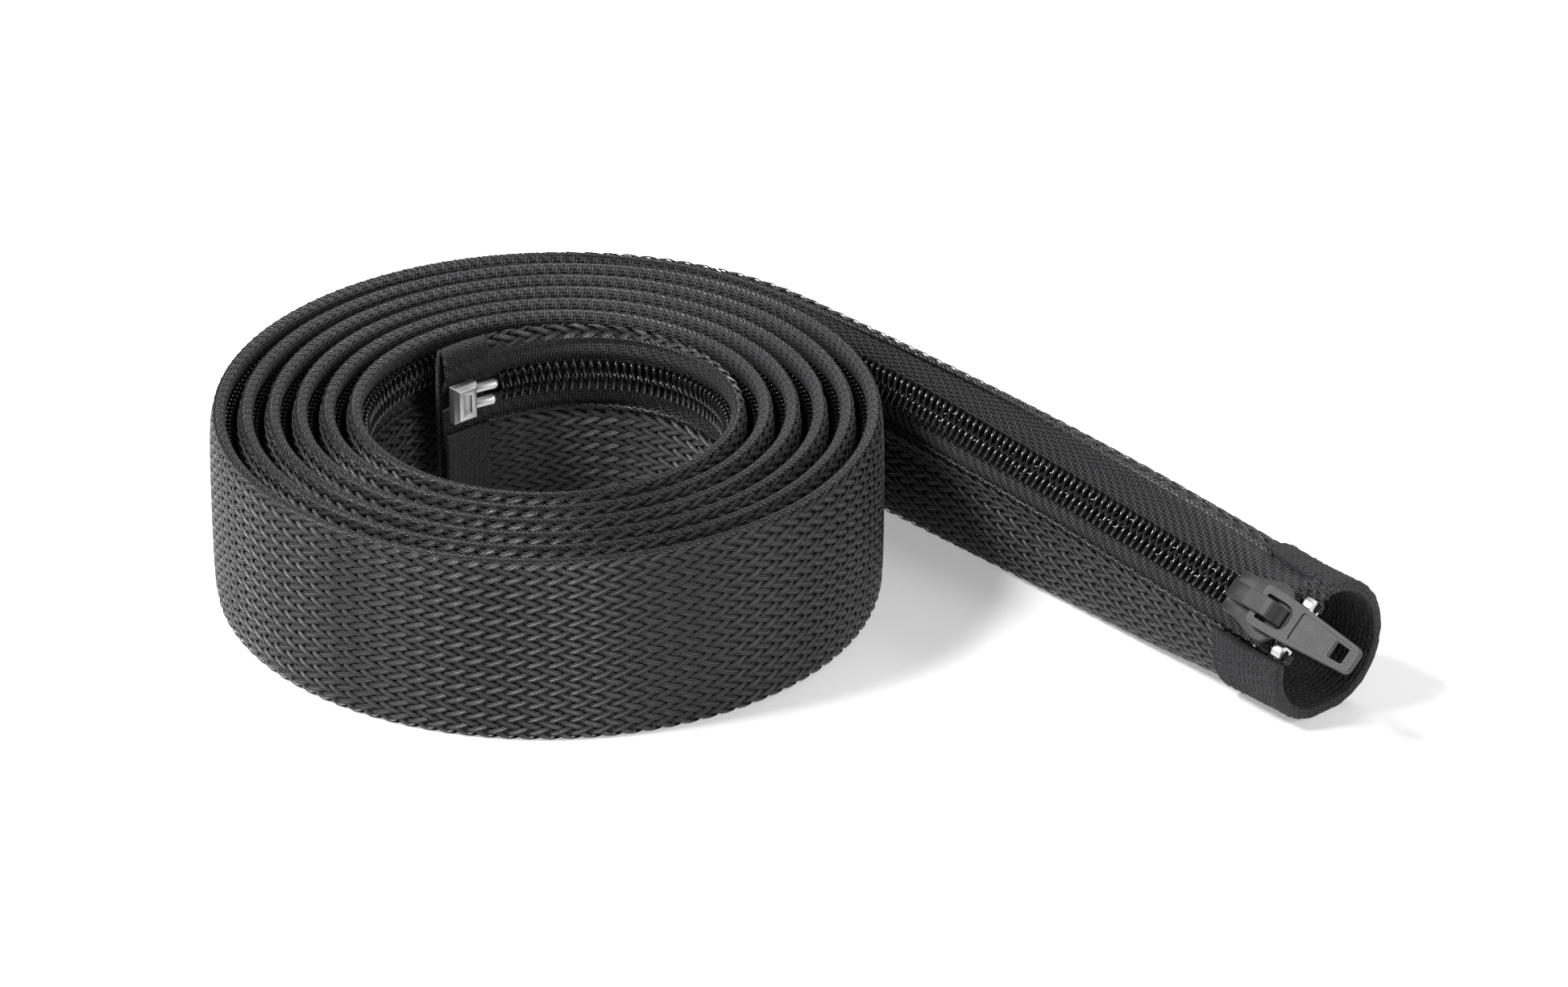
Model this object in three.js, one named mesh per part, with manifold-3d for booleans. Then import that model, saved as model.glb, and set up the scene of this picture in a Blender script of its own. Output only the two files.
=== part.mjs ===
// Zippered braided cable sleeve, wound on edge into a coil of six turns with its mouth end led straight out.
// Units are millimetres. Z is up, the floor is z = 0, and the straight end of the sleeve runs along +X.
import * as THREE from "three";
import { mergeVertices } from "three/addons/utils/BufferGeometryUtils.js";
import Module from "manifold-3d";

// Coil
const TURN_PITCH = 4.73;
const TURNS = 6.26;
const OUTER_RADIUS = 59.85;
const END_PULL = 2.0;
const END_PULL_TURNS = 0.22;
const TURN_STATIONS = 20;
const OUTER_TURN_STATIONS = 30;

// Straight end, measured from the point where it leaves the coil
const MOUTH_X = 125;
const STRAIGHT_STATIONS = 28;
const CHAIN_STRAIGHT_X = 78;
const CHAIN_SLOPE = 0.085;
const CHAIN_TILT = THREE.MathUtils.degToRad(45);

// Flattened section in the coil and round section at the mouth
const SLEEVE_HEIGHT = 34.5;
const WALL = 0.8;
const HALF_FLAT = 1.2;
const MOUTH_HEIGHT = 24;
const MOUTH_HALF_WIDTH = 11.9;
const MOUTH_OFFSET = 6;
const FLAT_SPOT = 0.5;
const MOUTH_FLAT_SPOT = 1.8;

// Zip chain and tapes, as distances along the wall from the middle of the chain
const CHAIN_INSET = 0.85; // the chain lies this far in from the middle of the flat section
const CHAIN_HEIGHT_STRAIGHT = 22.6; // at CHAIN_STRAIGHT_X
const FLOOR_RISE_LENGTH = 40; // the floor rises to the binding's level over this length
const CHAIN_HEIGHT = 28.2;
const CHAIN_HEIGHT_LEAVING = 26.8;
const CHAIN_HEIGHT_INNER_END = 24.3;
const STRIP_HALF = 4.5;
const TOOTH_PITCH = 1.54;
const ROW_INNER = 0.18;
const ROW_CREST = 1.7;
const ROW_OUTER = 3.05;
const ROW_RISE = 1.55;
const TOOTH_REACH = 0.62;
const TAPE_EDGE = 1.7;
const TAPE_THICKNESS = 0.5;
const TAPE_LEVEL = -0.95;
const LOWER_TAPE_END = 9.5;
const LOWER_TAPE_BEND = 5.6; // the tape is flat this far out from the chain, so that the slider can run along it
const UPPER_BRAID_EDGE = 8.6; // round from the chain's middle, in the coil
const UPPER_BRAID_EDGE_AT_MOUTH = 9.6;
const LOWER_BRAID_EDGE = 6.6;
const FREE_CHAIN_END = 12.1;

// Slider and pull tab
const SLIDER_X = 117.7;
const SLIDER_LENGTH = 12.6;
const SLIDER_REAR_HALF = 3.85;
const SLIDER_SHOULDER_HALF = 5.45;
const SLIDER_TOP = 3.1;
const SLIDER_ROOF = 2.1;
const SLIDER_LIP = 0.45;
const SLIDER_FLOOR = -1.9;
const SLIDER_BOTTOM = -2.8;
const CROWN_HEIGHT = 6.6;
const CROWN_WALL = 0.95;
const CROWN_HALF_WIDTH = 1.6;
const PIVOT_X = 1.6;
const PIVOT_Z = 4.7;
const TAB_LENGTH = 22;
const TAB_THICKNESS = 1.3;
const TAB_EAR_HALF = 3.9;
const TAB_TIP_HALF = 2.5;
const TAB_REST = THREE.MathUtils.degToRad(9);

// End trims
const BINDING_LENGTH = 15;
const INNER_BINDING_LENGTH = 10;
const BINDING_HALF = 1.15;
const INNER_BINDING_HALF = 0.6;
const BRAID_IN_BINDING = 3;
const CLEARANCE = 0.3;

const wasm = await Module();
wasm.setup();

const { lerp, clamp, smoothstep } = THREE.MathUtils;

// Joining and cutting of closed shapes.
function solid(geometry) {
  const bare = geometry.clone();
  bare.deleteAttribute("normal");
  bare.deleteAttribute("uv");
  const merged = mergeVertices(bare, 1e-4);
  const mesh = new wasm.Mesh({
    numProp: 3,
    vertProperties: merged.attributes.position.array,
    triVerts: new Uint32Array(merged.index.array),
  });
  return new wasm.Manifold(mesh);
}

function geometryOf(made) {
  const mesh = made.getMesh();
  const geometry = new THREE.BufferGeometry();
  geometry.setAttribute("position", new THREE.BufferAttribute(mesh.vertProperties, 3));
  geometry.setIndex(new THREE.BufferAttribute(mesh.triVerts, 1));
  return geometry;
}

// How far the section has opened from flat (0) to round (1).
function fullness(x) {
  return clamp(((x + 10) / (MOUTH_X + 1)) ** 1.8, 0, 1) * smoothstep(x, -5, 5);
}

// One cross-section: a closed path in (u, z), u pointing away from the coil's centre, that starts at the
// middle of the chain, goes up over the top, down the outer wall, along the floor and up the inner wall.
function sectionPath(fill, chainU, chainZ, tilt, floor) {
  const height = SLEEVE_HEIGHT - WALL / 2 - (SLEEVE_HEIGHT - MOUTH_HEIGHT) * fill ** 1.6;
  const middle = lerp(HALF_FLAT - CHAIN_INSET, MOUTH_OFFSET, fill);
  const half = lerp(HALF_FLAT, MOUTH_HALF_WIDTH, fill);
  const flat = lerp(FLAT_SPOT, MOUTH_FLAT_SPOT, fill);
  const up = new THREE.Vector2(Math.sin(tilt), Math.cos(tilt));
  const chain = new THREE.Vector2(chainU, chainZ);
  const stripTop = chain.clone().addScaledVector(up, STRIP_HALF);
  const stripBottom = chain.clone().addScaledVector(up, -STRIP_HALF);
  const top = new THREE.Vector2(middle, height);
  const outer = new THREE.Vector2(middle + half, lerp(17, 11.9, fill));
  const footOuter = new THREE.Vector2(middle + flat, floor);
  const footInner = new THREE.Vector2(middle - flat, floor);
  const inner = new THREE.Vector2(middle - half, lerp(14, 10.6, fill));
  const right = new THREE.Vector2(1, 0);
  const down = new THREE.Vector2(0, -1);
  const left = new THREE.Vector2(-1, 0);
  const rise = new THREE.Vector2(0, 1);
  const wallHandle = lerp(0.93, 0.5523, fill);
  const foldHandle = lerp(0.62, 0.5523, fill);
  const path = new THREE.CurvePath();
  path.add(new THREE.LineCurve(chain, stripTop));
  path.add(bend(stripTop, up, lerp(0.85, 0.42, fill), top, right, lerp(0.7, 0.42, fill)));
  path.add(bend(top, right, foldHandle, outer, down, wallHandle));
  path.add(bend(outer, down, wallHandle, footOuter, left, foldHandle));
  path.add(new THREE.LineCurve(footOuter, footInner));
  path.add(bend(footInner, left, foldHandle, inner, rise, wallHandle));
  path.add(bend(inner, rise, 0.4, stripBottom, up, 0.4));
  path.add(new THREE.LineCurve(stripBottom, chain));
  return path;
}

// A cubic from a to b that leaves along da and arrives along db.
function bend(a, da, reachA, b, db, reachB) {
  const span = b.clone().sub(a);
  const handleA = a.clone().addScaledVector(da, reachA * Math.abs(span.dot(da)));
  const handleB = b.clone().addScaledVector(db, -reachB * Math.abs(span.dot(db)));
  return new THREE.CubicBezierCurve(a, handleA, handleB, b);
}

// A station is a place along the sleeve with its section. Coil stations are given in turns inward.
function station(origin, out, path, place) {
  const lengths = path.getCurveLengths();
  return { origin, out, path, place, round: lengths[lengths.length - 1], lengths };
}

function coilStation(turns) {
  const start = Math.PI / 2 + Math.atan(TURN_PITCH / (2 * Math.PI * OUTER_RADIUS));
  const angle = start + turns * 2 * Math.PI;
  const pull = END_PULL * smoothstep(turns, TURNS - END_PULL_TURNS, TURNS);
  const radius = OUTER_RADIUS - TURN_PITCH * turns - pull;
  const out = new THREE.Vector3(Math.cos(angle), Math.sin(angle), 0);
  const leaving = lerp(CHAIN_HEIGHT_LEAVING, CHAIN_HEIGHT, smoothstep(turns, 0, 0.25));
  const height = lerp(leaving, CHAIN_HEIGHT_INNER_END, smoothstep(turns, TURNS - 0.5, TURNS));
  const floor = lerp(WALL / 2, INNER_BINDING_HALF, smoothstep(turns, TURNS - 0.15, TURNS - 0.06));
  const path = sectionPath(0, -CHAIN_INSET, height, 0, floor);
  return station(out.clone().multiplyScalar(radius), out, path, -turns);
}

function straightStation(x) {
  const t = clamp(x / CHAIN_STRAIGHT_X, 0, 1);
  const tilt = CHAIN_TILT * Math.sin((t * Math.PI) / 2);
  const floor = lerp(WALL / 2, BINDING_HALF, smoothstep(x, MOUTH_X - FLOOR_RISE_LENGTH, MOUTH_X - BINDING_LENGTH));
  const path = sectionPath(fullness(x), chainOffset(t), chainHeight(x, t), tilt, floor);
  const start = coilStation(0).origin;
  return station(new THREE.Vector3(start.x + x, start.y, 0), new THREE.Vector3(0, 1, 0), path, x);
}

function chainOffset(t) {
  return -CHAIN_INSET - 0.7 * (1 - (1 - t) ** 2);
}

function chainHeight(x, t) {
  const straight = CHAIN_HEIGHT_STRAIGHT - CHAIN_SLOPE * (x - CHAIN_STRAIGHT_X);
  const sag = CHAIN_HEIGHT_STRAIGHT + CHAIN_SLOPE * CHAIN_STRAIGHT_X - CHAIN_HEIGHT_LEAVING;
  return straight - sag * (1 - t) ** 2;
}

// The point at distance c along the wall from the chain's middle and lift above the wall.
function wallPoint(at, c, lift) {
  const part = (((c / at.round) % 1) + 1) % 1;
  const p = at.path.getPointAt(part);
  const along = at.path.getTangentAt(part);
  const u = p.x - along.y * lift;
  const z = p.y + along.x * lift;
  return at.origin.clone().addScaledVector(at.out, u).setZ(z);
}

// Skin over rings of points. Neighbouring rings may differ in count where keys say which points they share.
function skin(rings) {
  const positions = rings.flatMap((ring) => ring.points.flatMap((p) => p.toArray()));
  const index = [];
  let base = 0;
  rings.slice(1).forEach((ring, i) => {
    const last = rings[i];
    const next = base + last.points.length;
    join(index, base, last.keys, next, ring.keys);
    base = next;
  });
  cap(index, rings[0], 0, false);
  cap(index, rings[rings.length - 1], base, true);
  const geometry = new THREE.BufferGeometry();
  geometry.setAttribute("position", new THREE.Float32BufferAttribute(positions, 3));
  geometry.setIndex(index);
  return geometry;
}

// Triangles between two rings: keys rise round each ring and the ring closes on its first point.
function join(index, baseA, keysA, baseB, keysB) {
  let a = 0;
  let b = 0;
  while (a < keysA.length || b < keysB.length) {
    const nextA = a + 1 < keysA.length ? keysA[a + 1] : a < keysA.length ? 1e9 : Infinity;
    const nextB = b + 1 < keysB.length ? keysB[b + 1] : b < keysB.length ? 1e9 : Infinity;
    const pa = baseA + (a % keysA.length);
    const pb = baseB + (b % keysB.length);
    if (nextA <= nextB) {
      index.push(pa, pb, baseA + ((a + 1) % keysA.length));
      a += 1;
    } else {
      index.push(pb, baseB + ((b + 1) % keysB.length), pa);
      b += 1;
    }
  }
}

// The end face of a strip whose ring runs out along one side and back along the other.
function cap(index, ring, base, far) {
  let i = 0;
  let j = ring.points.length - 1;
  while (j - i > 1) {
    const faces = [[i, j, i + 1]];
    if (j - i > 2) faces.push([i + 1, j, j - 1]);
    faces.forEach(([p, q, r]) => {
      index.push(base + p, base + (far ? q : r), base + (far ? r : q));
    });
    i += 1;
    j -= 1;
  }
}

// A strip's ring at a station: profile is a list of [c, lift] along its middle, with half its thickness.
function stripRing(at, profile, half) {
  const keys = profile.map((p) => p[2]);
  const outer = profile.map(([c, lift]) => wallPoint(at, c, lift + half));
  const inner = profile.map(([c, lift]) => wallPoint(at, c, lift - half)).reverse();
  const last = Math.max(...keys) * 2 + 1;
  const back = keys.map((k) => last - k).reverse();
  return { points: [...outer, ...inner], keys: [...keys, ...back] };
}

// Places round the coil, from a distance back from its inner end to just before the straight end.
function coilPlaces(length) {
  const from = TURNS - bindingTurns(length);
  const places = [from];
  for (let k = Math.floor(TURNS * TURN_STATIONS); k > TURN_STATIONS; k -= 1) {
    if (from - k / TURN_STATIONS > 0.3 / TURN_STATIONS) places.push(k / TURN_STATIONS);
  }
  for (let k = OUTER_TURN_STATIONS; k > 0; k -= 1) {
    places.push(k / OUTER_TURN_STATIONS);
  }
  return places.map(coilStation);
}

function straightPlaces(fromX, toX, count) {
  return Array.from({ length: count + 1 }, (_, i) => straightStation(lerp(fromX, toX, i / count)));
}

// Where the braid begins on the upper tape's side.
function upperBraidEdge(at) {
  return lerp(UPPER_BRAID_EDGE, UPPER_BRAID_EDGE_AT_MOUTH, clamp(at.place / MOUTH_X, 0, 1));
}

// Braid wall: fine sections on the outer turn and the straight end, coarse ones on the turns inside.
function braidProfile(at, fine) {
  const [, , , outer, footOuter, footInner] = at.lengths.map((_, i) => (i ? at.lengths[i - 1] : 0));
  const edge = upperBraidEdge(at);
  const end = at.round - LOWER_BRAID_EDGE;
  const corner = lerp(outer, footOuter, 0.88);
  const list = [
    [edge, 0, 0],
    [edge + 2, 0, 1],
    [lerp(edge + 2, outer, 0.5), 0, 2],
    [outer, 0, 3],
    [corner, 0, 4],
    [footOuter, 0, 5],
    [footInner, 0, 6],
    [lerp(footInner, end, 0.12), 0, 7],
    [lerp(footInner, end, 0.4), 0, 8],
    [lerp(footInner, end, 0.7), 0, 9],
    [end, 0, 10],
  ];
  return fine ? list : list.filter(([, , key]) => [0, 1, 3, 5, 6, 10].includes(key));
}

function braidedSleeve() {
  const coil = coilPlaces(INNER_BINDING_LENGTH + 0.3);
  const coarse = coil.filter((at) => at.place < -1.01);
  const outerTurn = coil.filter((at) => at.place >= -1.01);
  const straight = straightPlaces(0, MOUTH_X - BINDING_LENGTH + BRAID_IN_BINDING, STRAIGHT_STATIONS);
  const rings = coarse.map((at) => stripRing(at, braidProfile(at, false), WALL / 2));
  [...outerTurn, ...straight].forEach((at, i) => {
    const ridge = 0.14;
    const profile = braidProfile(at, true).map(([c, lift, key]) => {
      const raised = key > 1 && key < 10 && (key < 5 || key > 6) && (i + key) % 2 === 0;
      return [c, lift + (raised ? ridge : 0), key];
    });
    rings.push(stripRing(at, profile, WALL / 2));
  });
  return skin(rings);
}

function bindingTurns(length) {
  const radius = OUTER_RADIUS - TURN_PITCH * TURNS - END_PULL;
  return length / (2 * Math.PI * radius);
}

// The tapes spread apart where the slider's wedge parts them.
function spread(x) {
  return 1.55 * smoothstep(x, SLIDER_X - 4, SLIDER_X + 2.5) + 1.1 * smoothstep(x, SLIDER_X + 2, MOUTH_X);
}

function tapePlaces() {
  const coil = coilPlaces(0.4);
  const straight = [0, 8, 16, 24, 31, 38, 46, 55, 64, 78, 92, 106, 109.5, 114, 117, 120, 122.5, MOUTH_X + 0.6];
  return [...coil, ...straight.map(straightStation)];
}

function upperTape() {
  const rings = tapePlaces().map((at) => {
    const fill = fullness(at.place);
    const apart = spread(at.place);
    const profile = [
      [TAPE_EDGE + apart, TAPE_LEVEL, 0],
      [5.8 + apart * 0.4, lerp(0.05, -0.5, fill), 1],
      [upperBraidEdge(at) - 0.6, 0.15, 2],
    ];
    return stripRing(at, profile, TAPE_THICKNESS / 2);
  });
  return skin(rings);
}

function lowerTape() {
  const rings = tapePlaces().map((at) => {
    const apart = spread(at.place);
    const narrow = smoothstep(at.place, 106, 109.5);
    const innerNarrow = at.place < 0 ? smoothstep(-at.place, TURNS - 0.09, TURNS - 0.065) : 0;
    const end = lerp(LOWER_TAPE_END, LOWER_BRAID_EDGE - 0.35, Math.max(narrow, innerNarrow));
    const profile = [
      [-end, TAPE_LEVEL, 0],
      [-LOWER_TAPE_BEND, TAPE_LEVEL, 1],
      [-TAPE_EDGE - apart, TAPE_LEVEL, 2],
    ];
    return stripRing(at, profile, TAPE_THICKNESS / 2);
  });
  return skin(rings);
}

// One row of the zip chain. side is +1 for the row on the upper tape and -1 for the lower one.
// mesh moves both rows' meeting edge together, so that the teeth of one stand in the gaps of the other.
function rowRing(at, side, mesh, rise) {
  const apart = spread(at.place) * side;
  const middle = side > 0 ? ROW_INNER + mesh : -ROW_INNER + mesh;
  const points = [
    wallPoint(at, middle + apart, 0.45),
    wallPoint(at, side * ROW_CREST + apart, rise),
    wallPoint(at, side * ROW_OUTER + apart, -0.1),
  ];
  return { points: side > 0 ? points : points.reverse(), keys: [0, 1, 2] };
}

function toothRow(side) {
  const rings = coilPlaces(FREE_CHAIN_END).map((at) => rowRing(at, side, 0, ROW_RISE));
  rings.push(rowRing(straightStation(0), side, 0, ROW_RISE));
  rings.push(rowRing(straightStation(10), side, 0, ROW_RISE));
  const from = 18;
  const to = SLIDER_X + 5;
  const halves = Math.floor((to - from) / (TOOTH_PITCH / 2));
  for (let i = 0; i <= halves; i += 1) {
    const x = from + (i * TOOTH_PITCH) / 2;
    const zip = 1 - smoothstep(x, SLIDER_X - 4, SLIDER_X - 1);
    const mesh = (i % 2 ? TOOTH_REACH : -TOOTH_REACH) * zip;
    const raised = i % 2 === (side > 0 ? 0 : 1);
    rings.push(rowRing(straightStation(x), side, mesh, ROW_RISE - (raised ? 0 : 0.45)));
  }
  return skin(rings);
}

// Knit binding in line with the braid round the sleeve's wall.
function bindingSkin(places, half, widen) {
  const rings = places.map((at) => {
    const profile = braidProfile(at, true);
    profile[0][0] += 0.2 - widen;
    profile[10][0] += widen - 0.1;
    return stripRing(at, profile, half);
  });
  return skin(rings);
}

// The mouth's binding has a slot in its back edge that the braid sits in.
function mouthBinding() {
  const from = MOUTH_X - BINDING_LENGTH;
  const places = [from, from + 4, from + 9, MOUTH_X - 1.2, MOUTH_X].map(straightStation);
  const slot = [from - 1, from + BRAID_IN_BINDING + CLEARANCE].map(straightStation);
  const body = solid(bindingSkin(places, BINDING_HALF, 0));
  return geometryOf(body.subtract(solid(bindingSkin(slot, WALL / 2 + CLEARANCE, 1))));
}

function innerBinding() {
  const places = [0, 5, INNER_BINDING_LENGTH].map((length) => coilStation(TURNS - bindingTurns(length)));
  return bindingSkin(places, INNER_BINDING_HALF, 0);
}

// Frame on the chain at a straight place: X towards the mouth, Y across the tapes, Z off the wall.
function chainFrame(x) {
  const at = straightStation(x);
  const along = new THREE.Vector3(1, 0, -CHAIN_SLOPE).normalize();
  const lift = wallPoint(at, 0, 1).sub(wallPoint(at, 0, 0));
  const across = lift.clone().cross(along).normalize();
  const off = along.clone().cross(across).normalize();
  return new THREE.Matrix4().makeBasis(along, across, off).setPosition(wallPoint(at, 0, 0));
}

// Frame on the chain at the coil's inner end, at a distance back from the cut end.
function innerEndFrame(length) {
  const at = coilStation(TURNS - bindingTurns(length));
  const off = at.out.clone().negate();
  const up = new THREE.Vector3(0, 0, 1);
  const along = up.clone().cross(off);
  return new THREE.Matrix4().makeBasis(along, up, off).setPosition(wallPoint(at, 0, 0));
}

// A flat outline that is the same on both sides of the X axis, from [x, half width] points.
function mirroredShape(points) {
  const shape = new THREE.Shape();
  const ring = [...points, ...points.map(([x, y]) => [x, -y]).reverse()];
  ring.forEach(([x, y], i) => (i ? shape.lineTo(x, y) : shape.moveTo(x, y)));
  shape.closePath();
  return shape;
}

function slab(shape, low, high) {
  const geometry = new THREE.ExtrudeGeometry(shape, { depth: high - low, bevelEnabled: false, curveSegments: 4 });
  return geometry.translate(0, 0, low);
}

function sliderOutline(inset) {
  const half = SLIDER_LENGTH / 2;
  return mirroredShape([
    [-half + inset, SLIDER_REAR_HALF - 0.7 - inset],
    [-half + 0.6 + inset, SLIDER_REAR_HALF - inset],
    [-2.6, SLIDER_REAR_HALF + 0.2 - inset],
    [0.2, SLIDER_SHOULDER_HALF - 0.55 - inset],
    [2.4, SLIDER_SHOULDER_HALF - inset],
    [4.3, SLIDER_SHOULDER_HALF - 0.35 - inset],
    [5.6 - inset, SLIDER_SHOULDER_HALF - 1.7 - inset],
    [half - inset, 1.6],
  ]);
}

function sliderBody() {
  const half = SLIDER_LENGTH / 2;
  const channel = mirroredShape([
    [-half - 1, 3.3],
    [-3, 3.35],
    [2.5, SLIDER_SHOULDER_HALF - 0.6],
    [half + 1, SLIDER_SHOULDER_HALF + 0.6],
  ]);
  const wedge = mirroredShape([
    [-0.6, 0.3],
    [2.4, 1.3],
    [half - 0.4, 0.9],
  ]);
  const upper = solid(slab(sliderOutline(0), SLIDER_LIP, SLIDER_TOP));
  const lower = solid(slab(sliderOutline(0.5), SLIDER_BOTTOM, SLIDER_FLOOR));
  const post = solid(slab(wedge, SLIDER_BOTTOM + 0.2, SLIDER_TOP - 0.2));
  const space = solid(slab(channel, SLIDER_LIP - 1, SLIDER_ROOF));
  return geometryOf(upper.subtract(space).add(lower).add(post).add(crown()));
}

// The arch on the slider that holds the pull tab's bar.
function crown() {
  const rear = -SLIDER_LENGTH / 2 + 0.4;
  const front = PIVOT_X + 2.9;
  const arch = new THREE.Shape();
  arch.moveTo(rear, SLIDER_TOP - 0.3);
  arch.lineTo(rear, SLIDER_TOP + 1.2);
  arch.quadraticCurveTo(rear + 0.3, CROWN_HEIGHT - 0.3, rear + 3.4, CROWN_HEIGHT);
  arch.lineTo(front - 1.4, CROWN_HEIGHT);
  arch.quadraticCurveTo(front, CROWN_HEIGHT, front, CROWN_HEIGHT - 1.4);
  arch.lineTo(front, SLIDER_TOP - 0.3);
  arch.closePath();
  const inside = new THREE.Path();
  inside.moveTo(rear + 3.2, SLIDER_TOP);
  inside.lineTo(front - CROWN_WALL, SLIDER_TOP);
  inside.lineTo(front - CROWN_WALL, CROWN_HEIGHT - CROWN_WALL - 0.5);
  inside.quadraticCurveTo(front - CROWN_WALL, CROWN_HEIGHT - CROWN_WALL, front - CROWN_WALL - 0.5, CROWN_HEIGHT - CROWN_WALL);
  inside.lineTo(rear + 4.0, CROWN_HEIGHT - CROWN_WALL);
  inside.closePath();
  arch.holes.push(inside);
  const geometry = new THREE.ExtrudeGeometry(arch, {
    depth: 2 * CROWN_HALF_WIDTH,
    bevelEnabled: false,
    curveSegments: 3,
  });
  geometry.rotateX(Math.PI / 2);
  geometry.translate(0, CROWN_HALF_WIDTH, 0);
  return solid(geometry);
}

// Pull tab about its own pivot: X towards its tip, Y along the pivot bar.
function pullTab() {
  const edge = (x) => lerp(TAB_EAR_HALF, TAB_TIP_HALF, clamp((x - 4) / (TAB_LENGTH - 4), 0, 1));
  const outline = mirroredShape([
    [-0.65, TAB_EAR_HALF - 0.7],
    [0.1, TAB_EAR_HALF],
    [3.6, TAB_EAR_HALF],
    [5.2, edge(6)],
    [TAB_LENGTH - 2.2, edge(TAB_LENGTH - 2)],
    [TAB_LENGTH - 0.9, TAB_TIP_HALF - 0.5],
    [TAB_LENGTH - 0.65, TAB_TIP_HALF - 1.3],
  ]);
  const eye = mirroredShape([
    [0.65, CROWN_HALF_WIDTH + 0.45],
    [4.4, CROWN_HALF_WIDTH + 0.45],
    [5.0, CROWN_HALF_WIDTH - 0.1],
  ]);
  const window = mirroredShape([
    [TAB_LENGTH - 4.6, 1.45],
    [TAB_LENGTH - 2.3, 1.35],
  ]);
  const panel = mirroredShape([
    [7, edge(7) - 0.6],
    [TAB_LENGTH - 1.7, edge(TAB_LENGTH - 1.7) - 0.6],
  ]);
  const half = TAB_THICKNESS / 2;
  const plate = solid(slab(outline, -half, half));
  const made = plate
    .subtract(solid(slab(eye, -half - 1, half + 1)))
    .subtract(solid(slab(window, -half - 1, half + 1)))
    .subtract(solid(slab(panel, half - 0.25, half + 1)));
  return geometryOf(made);
}

// U-shaped metal stop pinched over the edge of one tape.
function topStop(side) {
  const near = TAPE_EDGE + spread(MOUTH_X - 1.2) - 0.75;
  const shape = new THREE.Shape();
  const low = TAPE_LEVEL - TAPE_THICKNESS / 2 - CLEARANCE;
  const high = TAPE_LEVEL + TAPE_THICKNESS / 2 + CLEARANCE;
  const outline = [
    [0, low - 0.6],
    [2.4, low - 0.6],
    [2.4, low],
    [0.5, low],
    [0.5, high],
    [2.4, high],
    [2.4, high + 0.7],
    [1.6, high + 1.3],
    [0.5, high + 1.3],
    [0, high + 0.6],
  ];
  shape.setFromPoints(outline.map(([across, lift]) => new THREE.Vector2(side * (near + across), lift)));
  const geometry = new THREE.ExtrudeGeometry(shape, { depth: 2, bevelEnabled: false });
  geometry.rotateX(Math.PI / 2);
  geometry.rotateZ(Math.PI / 2);
  return geometry;
}

// Retainer box at the coil's inner end, a bevelled frame round a shallow window.
function retainerBox() {
  const shape = new THREE.Shape();
  shape.moveTo(-2.2, -3.2);
  shape.lineTo(2.2, -3.2);
  shape.lineTo(2.2, 3.2);
  shape.lineTo(-2.2, 3.2);
  shape.closePath();
  const body = new THREE.ExtrudeGeometry(shape, {
    depth: 1.3,
    bevelEnabled: true,
    bevelThickness: 0.9,
    bevelSize: 0.7,
    bevelOffset: -0.35,
    bevelSegments: 1,
  });
  const recess = new THREE.BoxGeometry(1.5, 3.4, 2).translate(0, 0, 2.75);
  return geometryOf(solid(body).subtract(solid(recess)));
}

// One of the two crimped metal pins between the box and the chain.
function retainerPin(length, radius) {
  const geometry = new THREE.CylinderGeometry(radius, radius, length, 10);
  geometry.rotateZ(Math.PI / 2);
  const tip = new THREE.SphereGeometry(radius * 0.99, 10, 4).translate(length / 2, 0, 0);
  return geometryOf(solid(geometry).add(solid(tip)));
}

// Materials
const braidFibre = new THREE.MeshStandardMaterial({ color: 0x1d1d1f, roughness: 0.35, metalness: 0 });
const wovenTape = new THREE.MeshStandardMaterial({ color: 0x141415, roughness: 0.85, metalness: 0 });
const nylonCoil = new THREE.MeshStandardMaterial({ color: 0x0d0d0e, roughness: 0.22, metalness: 0 });
const knitBinding = new THREE.MeshStandardMaterial({ color: 0x18181a, roughness: 0.9, metalness: 0 });
const darkEnamel = new THREE.MeshStandardMaterial({ color: 0x2b2b2d, roughness: 0.38, metalness: 0.6 });
const brightMetal = new THREE.MeshStandardMaterial({ color: 0xc9c9cb, roughness: 0.18, metalness: 1 });

const sleeve = new THREE.Group();

function place(parent, name, geometry, material, matrix) {
  const mesh = new THREE.Mesh(geometry, material);
  mesh.name = name;
  if (matrix) mesh.applyMatrix4(matrix);
  parent.add(mesh);
  return mesh;
}

place(sleeve, "braided_sleeve", braidedSleeve(), braidFibre);
place(sleeve, "upper_zip_tape", upperTape(), wovenTape);
place(sleeve, "lower_zip_tape", lowerTape(), wovenTape);
place(sleeve, "upper_tooth_row", toothRow(1), nylonCoil);
place(sleeve, "lower_tooth_row", toothRow(-1), nylonCoil);
place(sleeve, "mouth_binding", mouthBinding(), knitBinding);
place(sleeve, "inner_end_binding", innerBinding(), knitBinding);

const slider = new THREE.Group();
slider.applyMatrix4(chainFrame(SLIDER_X));
place(slider, "slider_body", sliderBody(), darkEnamel);
const tab = place(slider, "pull_tab", pullTab(), darkEnamel);
tab.position.set(PIVOT_X, 0, PIVOT_Z);
tab.rotation.y = TAB_REST;
sleeve.add(slider);

const stops = new THREE.Group();
stops.applyMatrix4(chainFrame(SLIDER_X + 5.6));
place(stops, "upper_top_stop", topStop(1), brightMetal);
place(stops, "lower_top_stop", topStop(-1), brightMetal);
sleeve.add(stops);

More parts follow.
